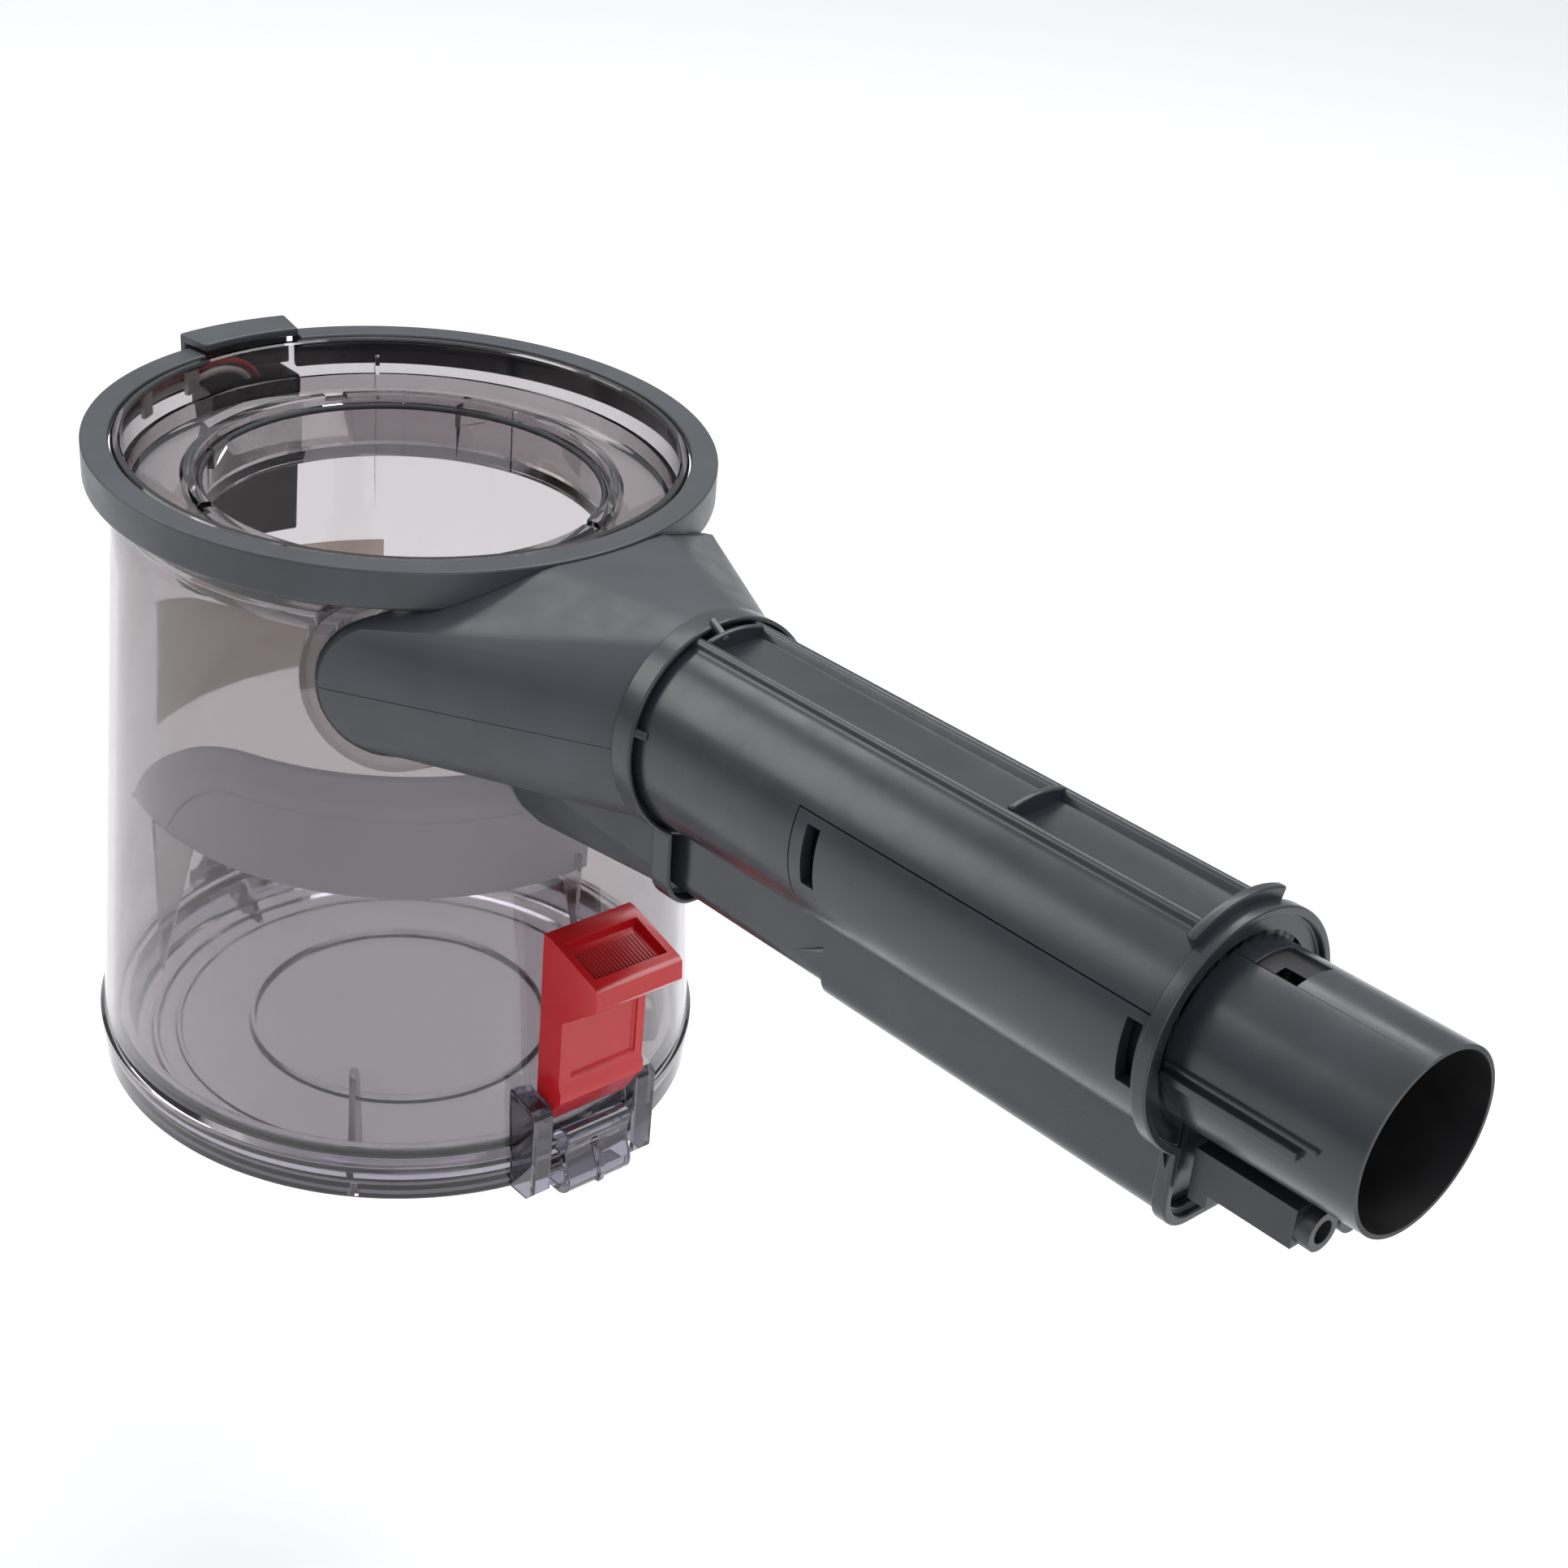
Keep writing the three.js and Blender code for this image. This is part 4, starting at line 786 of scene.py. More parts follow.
def baffle_outline():
    """(radius, height) corners: the inner side, then the outer side with its hollow fillet."""
    outer = wall_radius(baffle_top) - wall - 0.3
    stand_off = wall_radius(band_bottom) - wall - 4.6
    turns = [math.radians(-90 + 90 * i / 8) for i in range(9)]
    inner_side = [(stand_off + 0.4 + (outer - stand_off - 1.6) * (1 + math.sin(t)),
                   baffle_top - 7 * math.cos(t)) for t in turns[:-1]]
    front = [(stand_off + 0.2, shoulder - 0.6), (stand_off - 0.4, band_bottom)]
    step = stand_off + 1.9
    fillet = [(step + (outer - step) * math.cos(t),
               baffle_top - 1.4 + (baffle_top - shoulder) * math.sin(t)) for t in turns]
    back = [(stand_off + 1.2, band_bottom), (step - 0.1, shoulder - 1.9)] + fillet
    return front + back + [(outer, baffle_top)] + inner_side[::-1]


def make_baffle():
    places = [polar(r, band_from, z) for r, z in baffle_outline()]
    piece = draw_outline("scroll_baffle", places)
    bpy.ops.mesh.select_all(action="SELECT")
    bpy.ops.mesh.spin(steps=74, angle=math.radians(band_from - band_to), center=(0, 0, 0),
                      axis=(0, 0, 1))
    bpy.ops.mesh.select_all(action="SELECT")
    bpy.ops.mesh.fill_holes(sides=0)
    seal_mesh()
    for vertex in piece.data.vertices:
        x, y, z = vertex.co / mm
        degrees = math.degrees(math.atan2(y, x))
        top_drop = fall(degrees, -65, 40, 31)
        shoulder_drop = min(fall(degrees, -68, 24, 26.9), shoulder - band_bottom - 1.5)
        if z > band_bottom + 0.5:
            share = min(1.0, (z - band_bottom) / (shoulder - band_bottom))
            upper = max(0.0, (z - shoulder) / (baffle_top - shoulder))
            lowered = z - shoulder_drop * share * (1 - upper) - top_drop * upper
            vertex.co.z = max(lowered, band_bottom + 0.4) * mm
    return piece


baffle = make_baffle()


def baffle_fin(name, degrees, thick, corners):
    """A thin upright fin under the baffle, from (radius, height) corners."""
    places = [polar(r, degrees + s, z) for r, z in corners for s in (-thick, thick)]
    return wrapped(name, places)


band_radius = wall_radius(band_bottom) - wall - 3.4
soften(baffle, 0.12, steps=2, sharp=50, smooth=24)
place_piece(baffle, smoke_band_painted_light, "bin", "volute_baffle")
# Faces that turn up or down take the darker matt finish, as painted shade, so the shoulder shows.
second_finish(baffle, smoke_matt_painted_shade, lambda place, normal: abs(normal.z) > 0.22)
left_corners = ((band_radius, 77), (band_radius + 1.4, 77), (band_radius - 9, 74), (band_radius + 1.4, 38))
left_fin = baffle_fin("baffle_fin_left", -92, 0.7, left_corners)
place_piece(soften(left_fin, 0.15, sharp=40), smoke_clear, "bin")
right_corners = ((band_radius - 6, 80), (band_radius + 1.4, 80), (band_radius + 1.4, 57))
right_fin = baffle_fin("baffle_fin_right", 3, 0.5, right_corners)
place_piece(soften(right_fin, 0.15, sharp=40), smoke_clear, "bin")

# %% [markdown]
# ## The lid
# The lid is a clear dish with raised rings that stiffen it, an upstand that fits inside the bin,
# and four fins that guide it home as it shuts. Its hinge knuckle sits between the bin's two.

# %% Lid
lid_radius = high_mm("lid").y
lid_thick = 2.4
upstand = 67.0                   # outside radius of the ring that stands inside the bin


def ring_bump(radius, height, width):
    """A low rounded ring in the lid's profile, from outside to inside."""
    return [(radius + width, lid_thick), (radius + width / 2, lid_thick + height),
            (radius - width / 2, lid_thick + height), (radius - width, lid_thick)]


lid_profile = [(0, 0), (lid_radius - 1.0, 0), (lid_radius - 0.3, 0.3), (lid_radius, 1.0),
               (lid_radius, joint_height - 0.5), (upstand + 1.2, joint_height - 0.5),
               (upstand, joint_height - 1.2), (upstand, 12.2), (upstand - 0.8, 12.9),
               (upstand - 1.8, 12.4), (upstand - 2.2, 5.4),
               (upstand - 3.4, lid_thick + 0.4)]
lid_profile += ring_bump(59.5, 0.9, 1.0) + ring_bump(54, 0.5, 0.8) + ring_bump(36.2, 2.0, 0.9)
lid_profile += [(0, lid_thick)]
lid = turned("bin_lid", lid_profile, steps=180, closed=False)


def lid_fin(degrees, height, thick=1.5):
    """A guide fin with a slanted top that stands inside the upstand."""
    out = polar(1, degrees, 0)
    side = Vector((-out.y, out.x, 0)) * (thick / 2)
    corners = ((upstand - 1.8, 1.4), (upstand - 12.5, 1.4), (upstand - 9, height - 4),
               (upstand - 6.5, height), (upstand - 4.4, height))
    return wrapped("lid_fin", [out * r + s + Vector((0, 0, z)) for r, z in corners
                               for s in (side, -side)])


for degrees, height in ((-44, 29.5), (46, 12), (136, 12), (-173, 12), (90, 9)):
    join(lid, lid_fin(degrees, height))
hinge_place = Vector((-76.4, 0, 6.2))
hinge_axis = (0, 1, 0)
knuckle_half = 8.0
knuckle_radius = 4.0
pin_radius = 1.5


def pin_room():
    """Room for the hinge pin, right through the knuckles."""
    return rod("pin_room", pin_radius + 0.3, 50, hinge_place, hinge_axis, 32)


knuckle = rod("knuckle", knuckle_radius, 2 * knuckle_half, hinge_place, hinge_axis, 48)
root = side_push("root", [(hinge_place.x, 2.2), (-lid_radius + 2, 2.2), (-lid_radius + 2, joint_height - 0.5),
                          (hinge_place.x, joint_height - 0.5)], -knuckle_half, knuckle_half)
hinge_room = block("hinge_room", (-90, -15.4, -2), (-lid_radius + 2, 15.4, joint_height + 0.2))
catch_room = block("catch_room", (catch_low.x - 0.1, -18, -2), (90, 18, joint_height + 0.1))
cut(lid, hinge_room)
join(lid, join(knuckle, root))
cut(lid, catch_room, pin_room())
# The lid's deeper tint is painted shade of the space under the bin.
place_piece(soften(lid, 0.14, steps=2, sharp=42), smoke_lid_painted_shade, "lid", "lid")
second_finish(lid, smoke_edge, lambda place, normal: place.xy.length > upstand + 0.2
              or (place.z > 5 and place.xy.length < upstand - 3))

gasket_z = 10.7
gasket_out = wall_radius(gasket_z) - wall - 0.3
gasket = turned("lid_gasket", [(upstand + 0.3, gasket_z - 1.6), (gasket_out - 0.7, gasket_z - 1.6),
                               (gasket_out, gasket_z - 0.7), (gasket_out - 0.5, gasket_z),
                               (gasket_out, gasket_z + 0.6), (gasket_out - 0.6, gasket_z + 1.2),
                               (upstand + 0.3, gasket_z + 1.2)], steps=fine_steps)
place_piece(soften(gasket, 0.1, sharp=50), seal_rubber, "lid", "lid_seal")

# %% [markdown]
# ## The snap catch
# The catch is a springy band moulded with the lid: it leaves the lid, curls out and up, and ends in
# a thick bar that the slider pushes. A drawn side view with its curve as an arc gives the band.

# %% Snap catch
catch_half = 9.0                 # half the band's width


def catch_outline():
    """Side view of the band: out along the floor, round the curl and up to the bar."""
    foot = [(catch_low.x + 0.1, 0.3), (76.4, 0.3)]
    curl_out = arc(76.6, 4.9, 4.6, -90, 10, 8)
    waist = [(79.9, 9.0), (79.0, 12.4)]
    bar_out = arc(77.7, 16.2, 2.4, -30, 150, 10)
    nose = [(74.4, 16.4), (73.0, 14.0), (73.0, 11.8), (75.4, 11.5), (77.0, 11.3)]
    curl_in = [(78.1, 9.0)] + arc(76.4, 5.1, 2.5, 20, -90, 7)
    return foot + curl_out + waist + bar_out + nose + curl_in + [(catch_low.x + 0.1, 2.3)]


catch = side_push("snap_catch", catch_outline(), -catch_half, catch_half)
rib_outline = ([(79.0, 2.6)] + arc(76.9, 5.0, 5.2, -35, 12, 5)
               + [(80.9, 9.4), (80.1, 13.2), (79.2, 12.4), (79.4, 7.0)])
join(catch, side_push("catch_rib", rib_outline, -0.8, 0.8))
place_piece(soften(catch, 0.3, steps=3, sharp=45), smoke_edge, "catch", "lid_catch")
pin = rod("hinge_rod", pin_radius, 29.4, hinge_place, hinge_axis, 40)
place_piece(soften(pin, 0.3, steps=3, sharp=45), zinc_steel, "bin", "hinge_pin")

knuckle_out = 15.0
for side, name in ((-1, "hinge_knuckle_left"), (1, "hinge_knuckle_right")):
    low, high = on_side(side, knuckle_half + 0.3, knuckle_out)
    middle = (hinge_place.x, (low + high) / 2, hinge_place.z)
    barrel = rod(name, knuckle_radius, high - low, middle, hinge_axis, 48)
    web = side_push("web", [(hinge_place.x, 2.2), (-69.4, 9.0), (-69.4, 20), (hinge_place.x, 10.2)],
                    low, high)
    join(barrel, web)
    lid_room = block("lid_room", (hinge_place.x + 4.2, -20, -2), (-60, 20, joint_height))
    cut(barrel, cone("bin_side", 0.15, 0, 60), lid_room, pin_room())
    place_piece(soften(barrel, 0.4, steps=3, sharp=45), smoke_edge, "bin")

# %% [markdown]
# ## The release slider
# The red slider is a block with a thumb pad. It is pushed out of its side view, then its panel and
# thumb hollow are cut, and fine ribs are laid in the hollow so that a thumb doesn't slip.

# %% Release slider
slide_low, slide_high = low_mm("release_button"), high_mm("release_button")
slide_face = 79.0                # how far out the slider's front lies
slide_back = 71.2                # the slider stands off the wall, on its rail
pad_start = 73.6                 # where the thumb pad's slope begins


def slider_outline():
    lip = [(74.4, slide_low.z), (slide_face - 1.4, slide_low.z + 5.6), (slide_face + 0.7, slide_low.z + 8.2),
           (slide_face + 0.8, slide_low.z + 10.8), (slide_face, slide_low.z + 12.4)]
    pad = [(slide_face, slide_high.z - 19.4), (slide_high.x - 0.8, slide_high.z - 10.6),
           (slide_high.x, slide_high.z - 9.4), (slide_high.x - 0.4, slide_high.z - 5.0),
           (slide_high.x - 1.4, slide_high.z - 4.2), (pad_start, slide_high.z), (slide_back, slide_high.z)]
    return [(slide_back, slide_low.z)] + lip + pad


slider = side_push("release_slider", slider_outline(), -slide_half, slide_half)
panel = side_push("panel", [(slide_face - 0.9, slide_low.z + 14.5), (slide_face + 4, slide_low.z + 10.5),
                            (slide_face + 4, slide_high.z - 15.0), (slide_face - 0.9, slide_high.z - 20.6)],
                  -slide_half + 3.2, slide_half - 2.2)
pad_slope = -4.2 / (slide_high.x - 1.4 - pad_start)


def pad_height(x):
    return slide_high.z + (x - pad_start) * pad_slope


hollow_start, hollow_end = pad_start + 2.0, slide_high.x - 2.9
hollow = side_push("hollow", [(hollow_start + 0.6, pad_height(hollow_start) - 2.2),
                              (hollow_end - 0.6, pad_height(hollow_end) - 1.7),
                              (hollow_end, pad_height(hollow_end) + 4),
                              (hollow_start, pad_height(hollow_start) + 4)],
                   -slide_half + 1.9, slide_half - 1.9)
cut(slider, soften(panel, 0.6, steps=3), hollow, cone("bin_side", 0.5, 0, 90))
soften(slider, 0.55, steps=4, sharp=30, smooth=40)
place_piece(slider, red_gloss, "button", "release_button")

rib_pitch = 0.95
rib_count = int((2 * slide_half - 6.4) / rib_pitch)
rib_start, rib_end = hollow_start + 2.2, hollow_end - 2.2
rib_corners = ((rib_start, 2.5), (rib_end, 2.1), (rib_end, 1.6), (rib_start, 1.9))
rib = side_push("thumb_ribs", [(x, pad_height(x) - depth) for x, depth in rib_corners], -0.22, 0.22)
row = rib.modifiers.new("row", "ARRAY")
row.count = rib_count
row.use_relative_offset = False
row.use_constant_offset = True
row.constant_offset_displace = (0, rib_pitch * mm, 0)
bpy.ops.object.modifier_apply(modifier="row")
bpy.ops.object.mode_set(mode="EDIT")
bpy.ops.mesh.select_all(action="SELECT")
bpy.ops.transform.translate(value=(0, -(rib_count - 1) / 2 * rib_pitch * mm, 0))
bpy.ops.object.mode_set(mode="OBJECT")
# The ribs take the darker red: painted shade of the thumb hollow.
place_piece(rib, red_hollow_painted_shade, "button")

# %% [markdown]
# ## The inlet hood
# The hood turns the tube's air sideways into the bin. Seen from outside it is a stretched skin:
# from a round flange it spreads to the bin's side, with two soft creases on its brow and a bullet
# nose. A convex hull round the right rings and corners gives that skin, and the bin, the collar
# and the air way are then cut from it.

# %% Inlet hood
brow = [(-11, bin_height - 1), (16, bin_height - 1), (33, bin_height - 8), (33, 110)]


def hood_skin(name, inset=0.0):
    places = tube_ring(tube_reach - 3.9, tube_radius + 1.0 - inset, 64)
    places += nose_ring(nose_radius - inset, collar_radius - 4.5, 48, shift=-1)
    places += nose_ring(nose_radius - 1.2 - inset, collar_radius + 0.4 - inset, 48, shift=-0.6)
    places += nose_ring(nose_radius - 2.6 - inset, collar_radius + 1.2 - inset, 48)
    for degrees, z in brow:
        edge = z + inset if z < nose_height else z - inset
        places += [polar(collar_radius + 2.4 - inset, degrees, edge),
                   polar(collar_radius - 8, degrees, edge)]
    return wrapped(name, places)


def hood_keel(name):
    """The narrow chin that carries the wires below the air way."""
    end = tube_reach - 3.9
    places = []
    for side in (-1, 1):
        places += [on_tube(end, side * lobe_half, 0), on_tube(end, side * lobe_half, -lobe_depth + 6)]
        places += [on_tube(end, side * (lobe_half - r), -lobe_depth + h)
                   for r, h in ((1.2, 2.6), (3.2, 0.8), (6, 0))]
        places += [polar(collar_radius - 6, side * 13, 98), polar(collar_radius - 6, side * 9, 93)]
    places += [polar(collar_radius - 6, -19, 112), polar(collar_radius - 6, 33, 112),
               polar(collar_radius + 2, 33, 108)]
    return wrapped(name, places)


def lobe_bottom(half, depth, corner):
    """The two rounded lower corners of the wire lobe, from left to right."""
    left = arc(-half + corner, -depth + corner, corner, 180, 270, 8)
    return left + arc(half - corner, -depth + corner, corner, 270, 360, 8)


def lobed_outline(radius, half, depth, corner=6, steps=72):
    """A round tube with a lobe under it, as (across, up) corners."""
    neck = math.degrees(math.acos(half / radius))
    return arc(0, 0, radius, -neck, 180 + neck, steps) + lobe_bottom(half, depth, corner)


hood = hood_skin("inlet_hood_shell")
join(hood, hood_keel("keel"))
seam_ends = ((30, 126.6), (110, 133.6))
seam_slab = wrapped("seam", [Vector((x, y, z + s)) for s in (-0.11, 0.11)
                             for x, z in seam_ends for y in (-90, 0)])
cut(seam_slab, hood_skin("skin_inside", 0.16))
cut(hood, seam_slab)
cut(hood, cone("bin_side", 0.3, 60, bin_height + 4), air_way("way"),
    rod("collar_room", collar_radius + 0.3, 30, (0, 0, collar_bottom + 14.7), steps=round_steps),
    spigot_room(spigot_start - 0.7, 112))
soften(hood, 0.5, steps=3, sharp=13, smooth=13)
place_piece(hood, slate_satin, "bin", "inlet_hood")

# %% [markdown]
# The flange is a thin raised lip that follows the tube's lobed outline. A dark groove stays between
# it and the tube, bridged by a few small gussets.

# %% Hood flange
flange_start, flange_end = tube_reach - 4.4, tube_reach + 1.2
flange = tube_push("hood_flange", lobed_outline(23.4, lobe_half + 1.6, lobe_depth + 1.0, 7),
                   flange_start, flange_end)
cut(flange, tube_push("flange_room", lobed_outline(22.3, lobe_half + 0.6, lobe_depth - 0.2, 6),
                      tube_reach - 1.6, flange_end + 2))
cut(flange, spigot_room(flange_start - 2, flange_end + 2))
soften(flange, 0.5, steps=3, sharp=40)
place_piece(flange, slate_gloss, "bin")


def gusset(name, degrees, reach, length, height, thick=1.7):
    """A small bridge that stands on the tube's surface beside the flange."""
    turn = math.radians(degrees)
    out = Vector((0, -math.sin(turn), 0)) + above_tube * math.cos(turn)
    side = out.cross(along_tube).normalized() * thick / 2
    base = on_tube(reach, 0, 0)
    corners = ((0, tube_radius - 0.4), (length, tube_radius - 0.4), (length, tube_radius + 0.5),
               (0, tube_radius + height))
    places = [base + along_tube * a + out * r + s for a, r in corners for s in (side, -side)]
    return soften(wrapped(name, places), 0.45, steps=3, sharp=40)


gussets = ((76, 3.2, 2.0), (8, 4.2, 3.2), (-60, 3.2, 2.0), (150, 3.2, 1.8))
for index, (degrees, length, height) in enumerate(gussets):
    bridge = gusset(f"flange_gusset_{index}", degrees, tube_reach + 0.1, length, height)
    place_piece(bridge, slate_gloss, "bin")

# %% [markdown]
# ## The outer tube
# The tube is a round pipe with two ridges along its top, a shallow channel between them, and a lobe
# below for the wires. All of that is in one outline, so the tube is drawn once and pushed.

# %% Outer tube
channel_half = 6.4
split_up = 9.0                   # height of the wire cover's split line above the tube's axis
cover_start = 153.3              # where the separate wire cover begins
cross_web_reach = 190.4          # where a web crosses the channel on top


def tube_outline(lobe_inset=1.3):
    """(across, up) corners of the tube with its ridges, channel and lobe."""
    half, depth = lobe_half - lobe_inset, lobe_depth - lobe_inset
    neck = math.degrees(math.acos(half / tube_radius))
    right = arc(0, 0, tube_radius, -neck, 66, 44)
    ridge_turn = math.radians(70.6)
    ridge = arc(tube_radius * math.cos(ridge_turn), tube_radius * math.sin(ridge_turn), 1.25, 0, 150, 9)
    dip = tube_radius - 1.6
    channel = [(y, dip - 0.5 * (1 - (y / channel_half) ** 2)) for y in (5.4, 4.2, 2.8, 1.4, 0)]
    half_top = right + ridge + channel
    left_top = [(-y, z) for y, z in half_top[::-1][1:]]
    return half_top + left_top + lobe_bottom(half, depth, 5)


tube = tube_push("outer_tube", tube_outline(), tube_reach - 1.2, tube_end - 3)
cut(tube, tube_block("cover_room", cover_start - 0.3, tube_end, -40, 40, -60, split_up))
cut(tube, spigot_room(90, tube_end + 4))


end_flange = tube_push("end_flange", lobed_outline(23.2, lobe_half + 1.4, lobe_depth + 0.6, 7),
                       tube_end - 3.2, tube_end)
cut(end_flange, spigot_room(tube_end - 9, tube_end + 4, 0.5),
    tube_push("lobe_room", lobed_outline(17, lobe_half - 1.2, lobe_depth - 2.2, 5),
              tube_end - 9, tube_end + 9))
recess = tube_push("end_recess", lobed_outline(21.6, lobe_half - 0.4, lobe_depth - 1.2, 5.6),
                   tube_end - 1.4, tube_end + 3)
cut(end_flange, recess)
soften(end_flange, 0.45, steps=3, sharp=40)
soften(tube, 0.35, steps=3, sharp=40)
place_piece(tube, slate_gloss, "bin", "tube_body")
place_piece(end_flange, slate_gloss, "bin")


def top_fin(name, reach, thick, radius, start, end):
    """A raised arc of plate across the tube's top."""
    outer = arc(0, 0, radius, start, end, 20)
    inner = arc(0, 0, tube_radius - 3.2, end, start, 20)
    return soften(tube_push(name, outer + inner, reach, reach + thick), 0.5, steps=3, sharp=45)


for fin in (("end_fin", tube_end - 4.8, 2.0, tube_radius + 4.0, 68, 122),
            ("cross_web", cross_web_reach, 1.5, tube_radius + 1.4, 71, 107),
            ("hood_fin", tube_reach + 2.6, 1.4, tube_radius + 1.2, 72, 108)):
    place_piece(top_fin(*fin), slate_gloss, "bin")

# %% [markdown]
# ## The wire cover
# Past the middle of the tube the lower half is a separate cover that snaps into slots. Its slots
# show as dark windows on each side.

# %% Wire cover
def cover_outline():
    neck = math.degrees(math.acos(lobe_half / tube_radius))
    rise = math.degrees(math.asin((split_up - 0.3) / tube_radius))
    right = arc(0, 0, tube_radius, -neck, rise, 24)
    left = [(-y, z) for y, z in right[::-1]]
    return right + left + lobe_bottom(lobe_half, lobe_depth, 6)


cover = tube_push("wire_cover", cover_outline(), cover_start, tube_end - 3.4)
cheek_corners = ((12, lobe_half, -19.4), (1, lobe_half - 0.3, -24), (1, 5, -lobe_depth),
                 (-9, lobe_half - 1.2, -lobe_depth + 7), (-9, 5, -lobe_depth + 1.0))
cheek = wrapped("cheek", [on_tube(cover_start + reach, side * across, up)
                          for reach, across, up in cheek_corners for side in (-1, 1)])
for side in (-1, 1):
    for start in (cover_start + 3.1, tube_end - 8):
        low, high = on_side(side, tube_radius - 5, tube_radius + 5)
        cut(cover, tube_block("snap_window", start, start + 3.4, low, high, split_up - 14,
                              split_up - 2))
join(cover, cheek)
cut(cover, spigot_room(90, tube_end + 4, 1.4))
soften(cover, 0.3, steps=3, sharp=40)
place_piece(cover, slate_gloss, "bin", "cable_cover")

# %% [markdown]
# ## The spigot
# The spigot is the plain end that a wand slides over. It narrows by about half a millimetre, has a
# rounded mouth, a long rib on each side that keys the wand, and a latch pocket on top.

# %% Spigot
spigot = tube_rod("wand_spigot", spigot_radius + 0.25, spigot_start, spigot_mouth + 0.5, 128,
                  end_radius=spigot_radius - 0.1)
cut(spigot, tube_rod("bore", bore_radius, 90, spigot_mouth + 9, 128, end_radius=bore_radius + 0.5))
pocket_start = tube_end + 3
latch_pocket = tube_push(
    "latch_pocket", arc(0, 0, spigot_radius + 3, 72, 104, 10) + arc(0, 0, spigot_radius - 0.9, 104, 72, 10),
    pocket_start, pocket_start + 8.4)
latch_hole = tube_push(
    "latch_hole", arc(0, 0, spigot_radius + 3, 92, 102, 4) + arc(0, 0, bore_radius - 2, 102, 92, 4),
    pocket_start + 3.4, pocket_start + 8.0)
cut(spigot, latch_pocket, latch_hole)
soften(spigot, 0.4, steps=4, sharp=40)
place_piece(spigot, slate_gloss, "bin", "spigot_tube")


def in_bore(place, normal):
    """Whether a face of the spigot lies on its bore."""
    out = place - Vector((0, 0, tube_start_height))
    return (out - along_tube * out.dot(along_tube)).length < bore_radius + 0.75


# The bore's faces take the near-black finish: painted shade of the deep bore.
second_finish(spigot, bore_painted_shade, in_bore)

for side, name in ((-1, "key_rib_left"), (1, "key_rib_right")):
    low, high = on_side(side, spigot_radius - 0.6, spigot_radius + 1.3)
    key = tube_block(name, tube_end - 1, tube_end + 27, low, high, -2.0, -0.4)
    low, high = on_side(side, spigot_radius - 0.6, spigot_radius + 0.7)
    join(key, tube_block("second", tube_end - 1, tube_end + 30, low, high, 0.6, 1.4))
    place_piece(soften(key, 0.25, steps=2, sharp=40), slate_gloss, "bin")

# %% [markdown]
# ## The wiring
# The wand's motor is fed by two wires that run from the back of the bin round the collar, down the
# hood and along the tube's lobe to a two-way socket under the spigot. They are held all the way.

# %% Socket block
plug_start, plug_end = tube_end + 1.4, tube_end + 26
plug_up, socket_side = -22.9, 4.2             # the sockets' height from the axis, and half pitch


def socket_rod(name, side, radius, start, end, steps=40):
    centre = on_tube((start + end) / 2, side * socket_side, plug_up)
    return rod(name, radius, end - start, centre, along_tube, steps)


plug = tube_block("socket_block", plug_start + 3, plug_end - 3, -8.2, 8.2, plug_up - 3.6, plug_up + 4.3)
for side in (-1, 1):
    join(plug, socket_rod("barrel", side, 3.8, plug_start + 3.4, plug_end))
join(plug, tube_block("root", plug_start, plug_start + 4, -8.2, 8.2, plug_up - 6.2, plug_up + 4.3))
for side in (-1, 1):
    cut(plug, socket_rod("socket", side, 2.2, plug_end - 12, plug_end + 3))
cut(plug, tube_block("wire_room", plug_start - 2, plug_start + 8, -1.6, 1.6, -31.5, -25.6))
place_piece(soften(plug, 0.45, steps=3, sharp=40), black_satin, "bin", "connector_block")
for side, node in ((-1, "socket_contact_left"), (1, "socket_contact_right")):
    contact = socket_rod(node.replace("contact", "sleeve"), side, 1.7, plug_end - 11.4, plug_end - 2, 32)
    cut(contact, socket_rod("contact_bore", side, 1.2, plug_end - 9, plug_end))
    place_piece(soften(contact, 0.12, steps=2, sharp=40), contact_brass, "bin", node)

# %% Wires along their held route
half_pitch = 1.1                 # half the distance between the two wires
wire_radius = 64.6               # of the wires' run round the inside of the collar
wire_height = 150.9              # of the upper wire's run there
clip_low, clip_height = 146.4, 5.6


def wire_route(side):
    """The route of one wire, in millimetres, from the spine to the socket block."""
    spread = side * half_pitch
    height = wire_height - half_pitch + spread
    places = [Vector((-66.6, 1.15 * spread + 2, bin_height - 18)),
              Vector((-65.6, 1.15 * spread + 2, bin_height - 10))]
    places += [polar(wire_radius, degrees, height) for degrees in range(184, 383, 12)]
    turn = math.degrees(spread / wire_radius)
    places += [polar(wire_radius + 0.2, 30 + turn, height - 7),
               polar(wall_radius(125) + 2.6, 30 + 1.15 * turn, 125),
               polar(wall_radius(112) + 2.6, 28 + turn, 113 - 0.9 * spread)]

    def floor(reach):
        return tube_start_height + tube_slope * reach - lobe_depth + 8

    places += [Vector((76, 15, floor(76) + 1 - 1.2 * spread)), Vector((92, 2, floor(92) - spread))]
    places += [Vector((reach, 0, floor(reach) - spread)) for reach in range(106, 236, 26)]
    places += [Vector((tube_end + 1, 0, floor(tube_end + 1) - spread))]
    return places


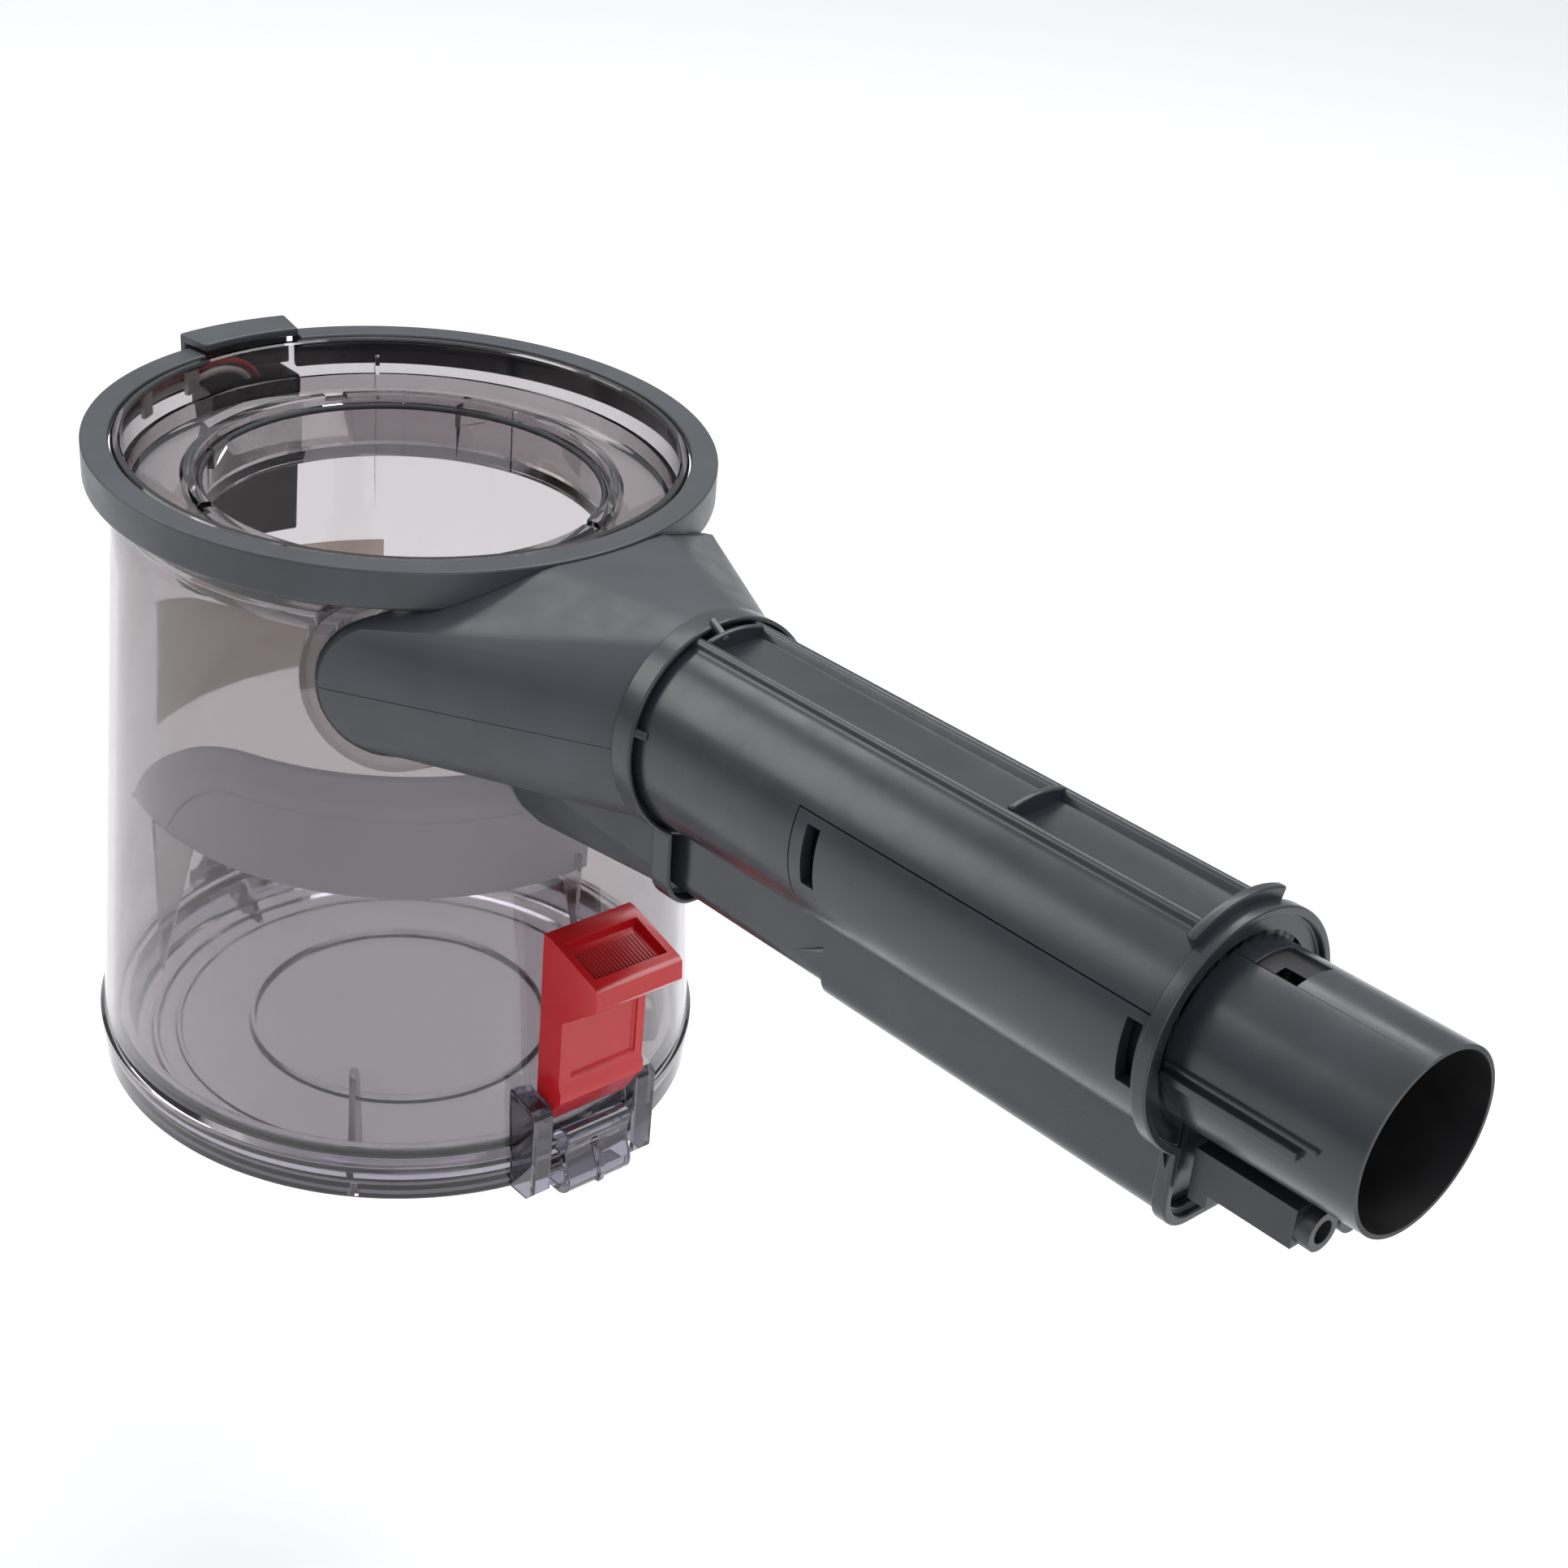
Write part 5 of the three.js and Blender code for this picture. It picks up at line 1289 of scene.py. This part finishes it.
def lead(name, side, finish, node):
    """A round wire along its route, as a curve turned into a mesh."""
    data = bpy.data.curves.new(name, "CURVE")
    data.dimensions = "3D"
    data.bevel_depth = 0.9 * mm
    data.bevel_resolution = 3
    data.resolution_u = 6
    data.use_fill_caps = True
    places = wire_route(side)
    line = data.splines.new("BEZIER")
    line.bezier_points.add(len(places) - 1)
    for point, place in zip(line.bezier_points, places):
        point.co = place * mm
        point.handle_left_type = "AUTO"
        point.handle_right_type = "AUTO"
    piece = bpy.data.objects.new(name, data)
    bpy.context.scene.collection.objects.link(piece)
    only(piece)
    bpy.ops.object.convert(target="MESH")
    bpy.ops.object.mode_set(mode="EDIT")
    seal_mesh()
    bpy.ops.object.shade_smooth_by_angle(angle=math.radians(60))
    place_piece(bpy.context.object, finish, "bin", node)


lead("red_lead", 1, red_sleeve, "red_wire")
lead("white_lead", -1, white_sleeve, "white_wire")

# %% Clips that hold the wires behind the rim
for degrees, name, node in ((196, "rim_clip_a", "wire_clip_a"), (212, "rim_clip_b", "wire_clip_b")):
    clip = upright_slab(name, degrees, wire_radius - 2, wire_radius - 0.6, 2.0, clip_low, clip_height)
    place_piece(soften(clip, 0.3, steps=2, sharp=40), nylon_white, "bin", node)

# %% [markdown]
# ## The spine and the small parts at the back
# A black housing behind the wall takes the machine's supply plug. Its screws are pan heads with a
# cross slot, and the label beside it is a plain film with nothing printed on it.

# %% Spine, screws and label
spine_low, spine_high = low_mm("spine_housing"), high_mm("spine_housing")
back = spine_low.x
supply_side = 5                  # from the middle to each supply slot
slot_half = 2.4
spine = pushed("back_spine", [(-40, spine_low.y, spine_low.z), (-40, spine_high.y, spine_low.z),
                              (back + 2, spine_high.y, spine_low.z), (back, spine_high.y - 2, spine_low.z),
                              (back, spine_low.y + 2, spine_low.z), (back + 2, spine_low.y, spine_low.z)],
               (0, 0, spine_high.z - spine_low.z))
cut(spine, cone("bin_side", 0.3, 60, bin_height))
for side in (-1, 1):
    middle = side * supply_side
    cut(spine, block("supply_slot", (back - 3, middle - slot_half, spine_high.z - 16),
                     (back + 4, middle + slot_half, spine_high.z - 6)))
soften(spine, 0.6, steps=3, sharp=40)
for node in ("spine_screw_lower", "spine_screw_upper"):
    place = (low_mm(node) + high_mm(node)) / 2
    cut(spine, rod("screw_hole", 2.8, 12, (back + 2.6 - 6, 0, place.z), (1, 0, 0), 32))
place_piece(spine, black_satin, "bin", "spine_housing")
for node in ("spine_screw_lower", "spine_screw_upper"):
    low, high = low_mm(node), high_mm(node)
    middle = (low + high) / 2
    name = node.replace("spine", "pan_head")
    screw = rod(name, 2.4, 2.0, (low.x + 1.0, 0, middle.z), (1, 0, 0), 32)
    shank_middle = ((low.x + high.x + 1) / 2, 0, middle.z)
    join(screw, rod("shank", 1.2, high.x - low.x - 1, shank_middle, (1, 0, 0), 24))
    cut(screw, block("slot", (low.x - 1, -0.35, middle.z - 1.7), (low.x + 0.9, 0.35, middle.z + 1.7)),
        block("slot", (low.x - 1, -1.7, middle.z - 0.35), (low.x + 0.9, 1.7, middle.z + 0.35)))
    place_piece(soften(screw, 0.18, steps=2, sharp=40), zinc_steel, "bin", node)

label_low, label_high = low_mm("label_blank"), high_mm("label_blank")
label_edges = ((label_low.z, 0.08), (label_low.z, 0.3), (label_high.z, 0.3), (label_high.z, 0.08))
label = turned("plain_label", [(wall_radius(z) + offset, z) for z, offset in label_edges])
combine(label, back_wedge("label_slice", 30, 50, 60), "INTERSECT")
place_piece(soften(label, 0.05, steps=1, sharp=60), label_film, "bin", "label_blank")

# %% The CAD pieces that keep their own shape
for node, finish in (("supply_contact_left", contact_brass), ("supply_contact_right", contact_brass),
                     ("release_spring", zinc_steel), ("hood_seal", seal_rubber)):
    nodes[node].data.materials.clear()
    nodes[node].data.materials.append(finish)
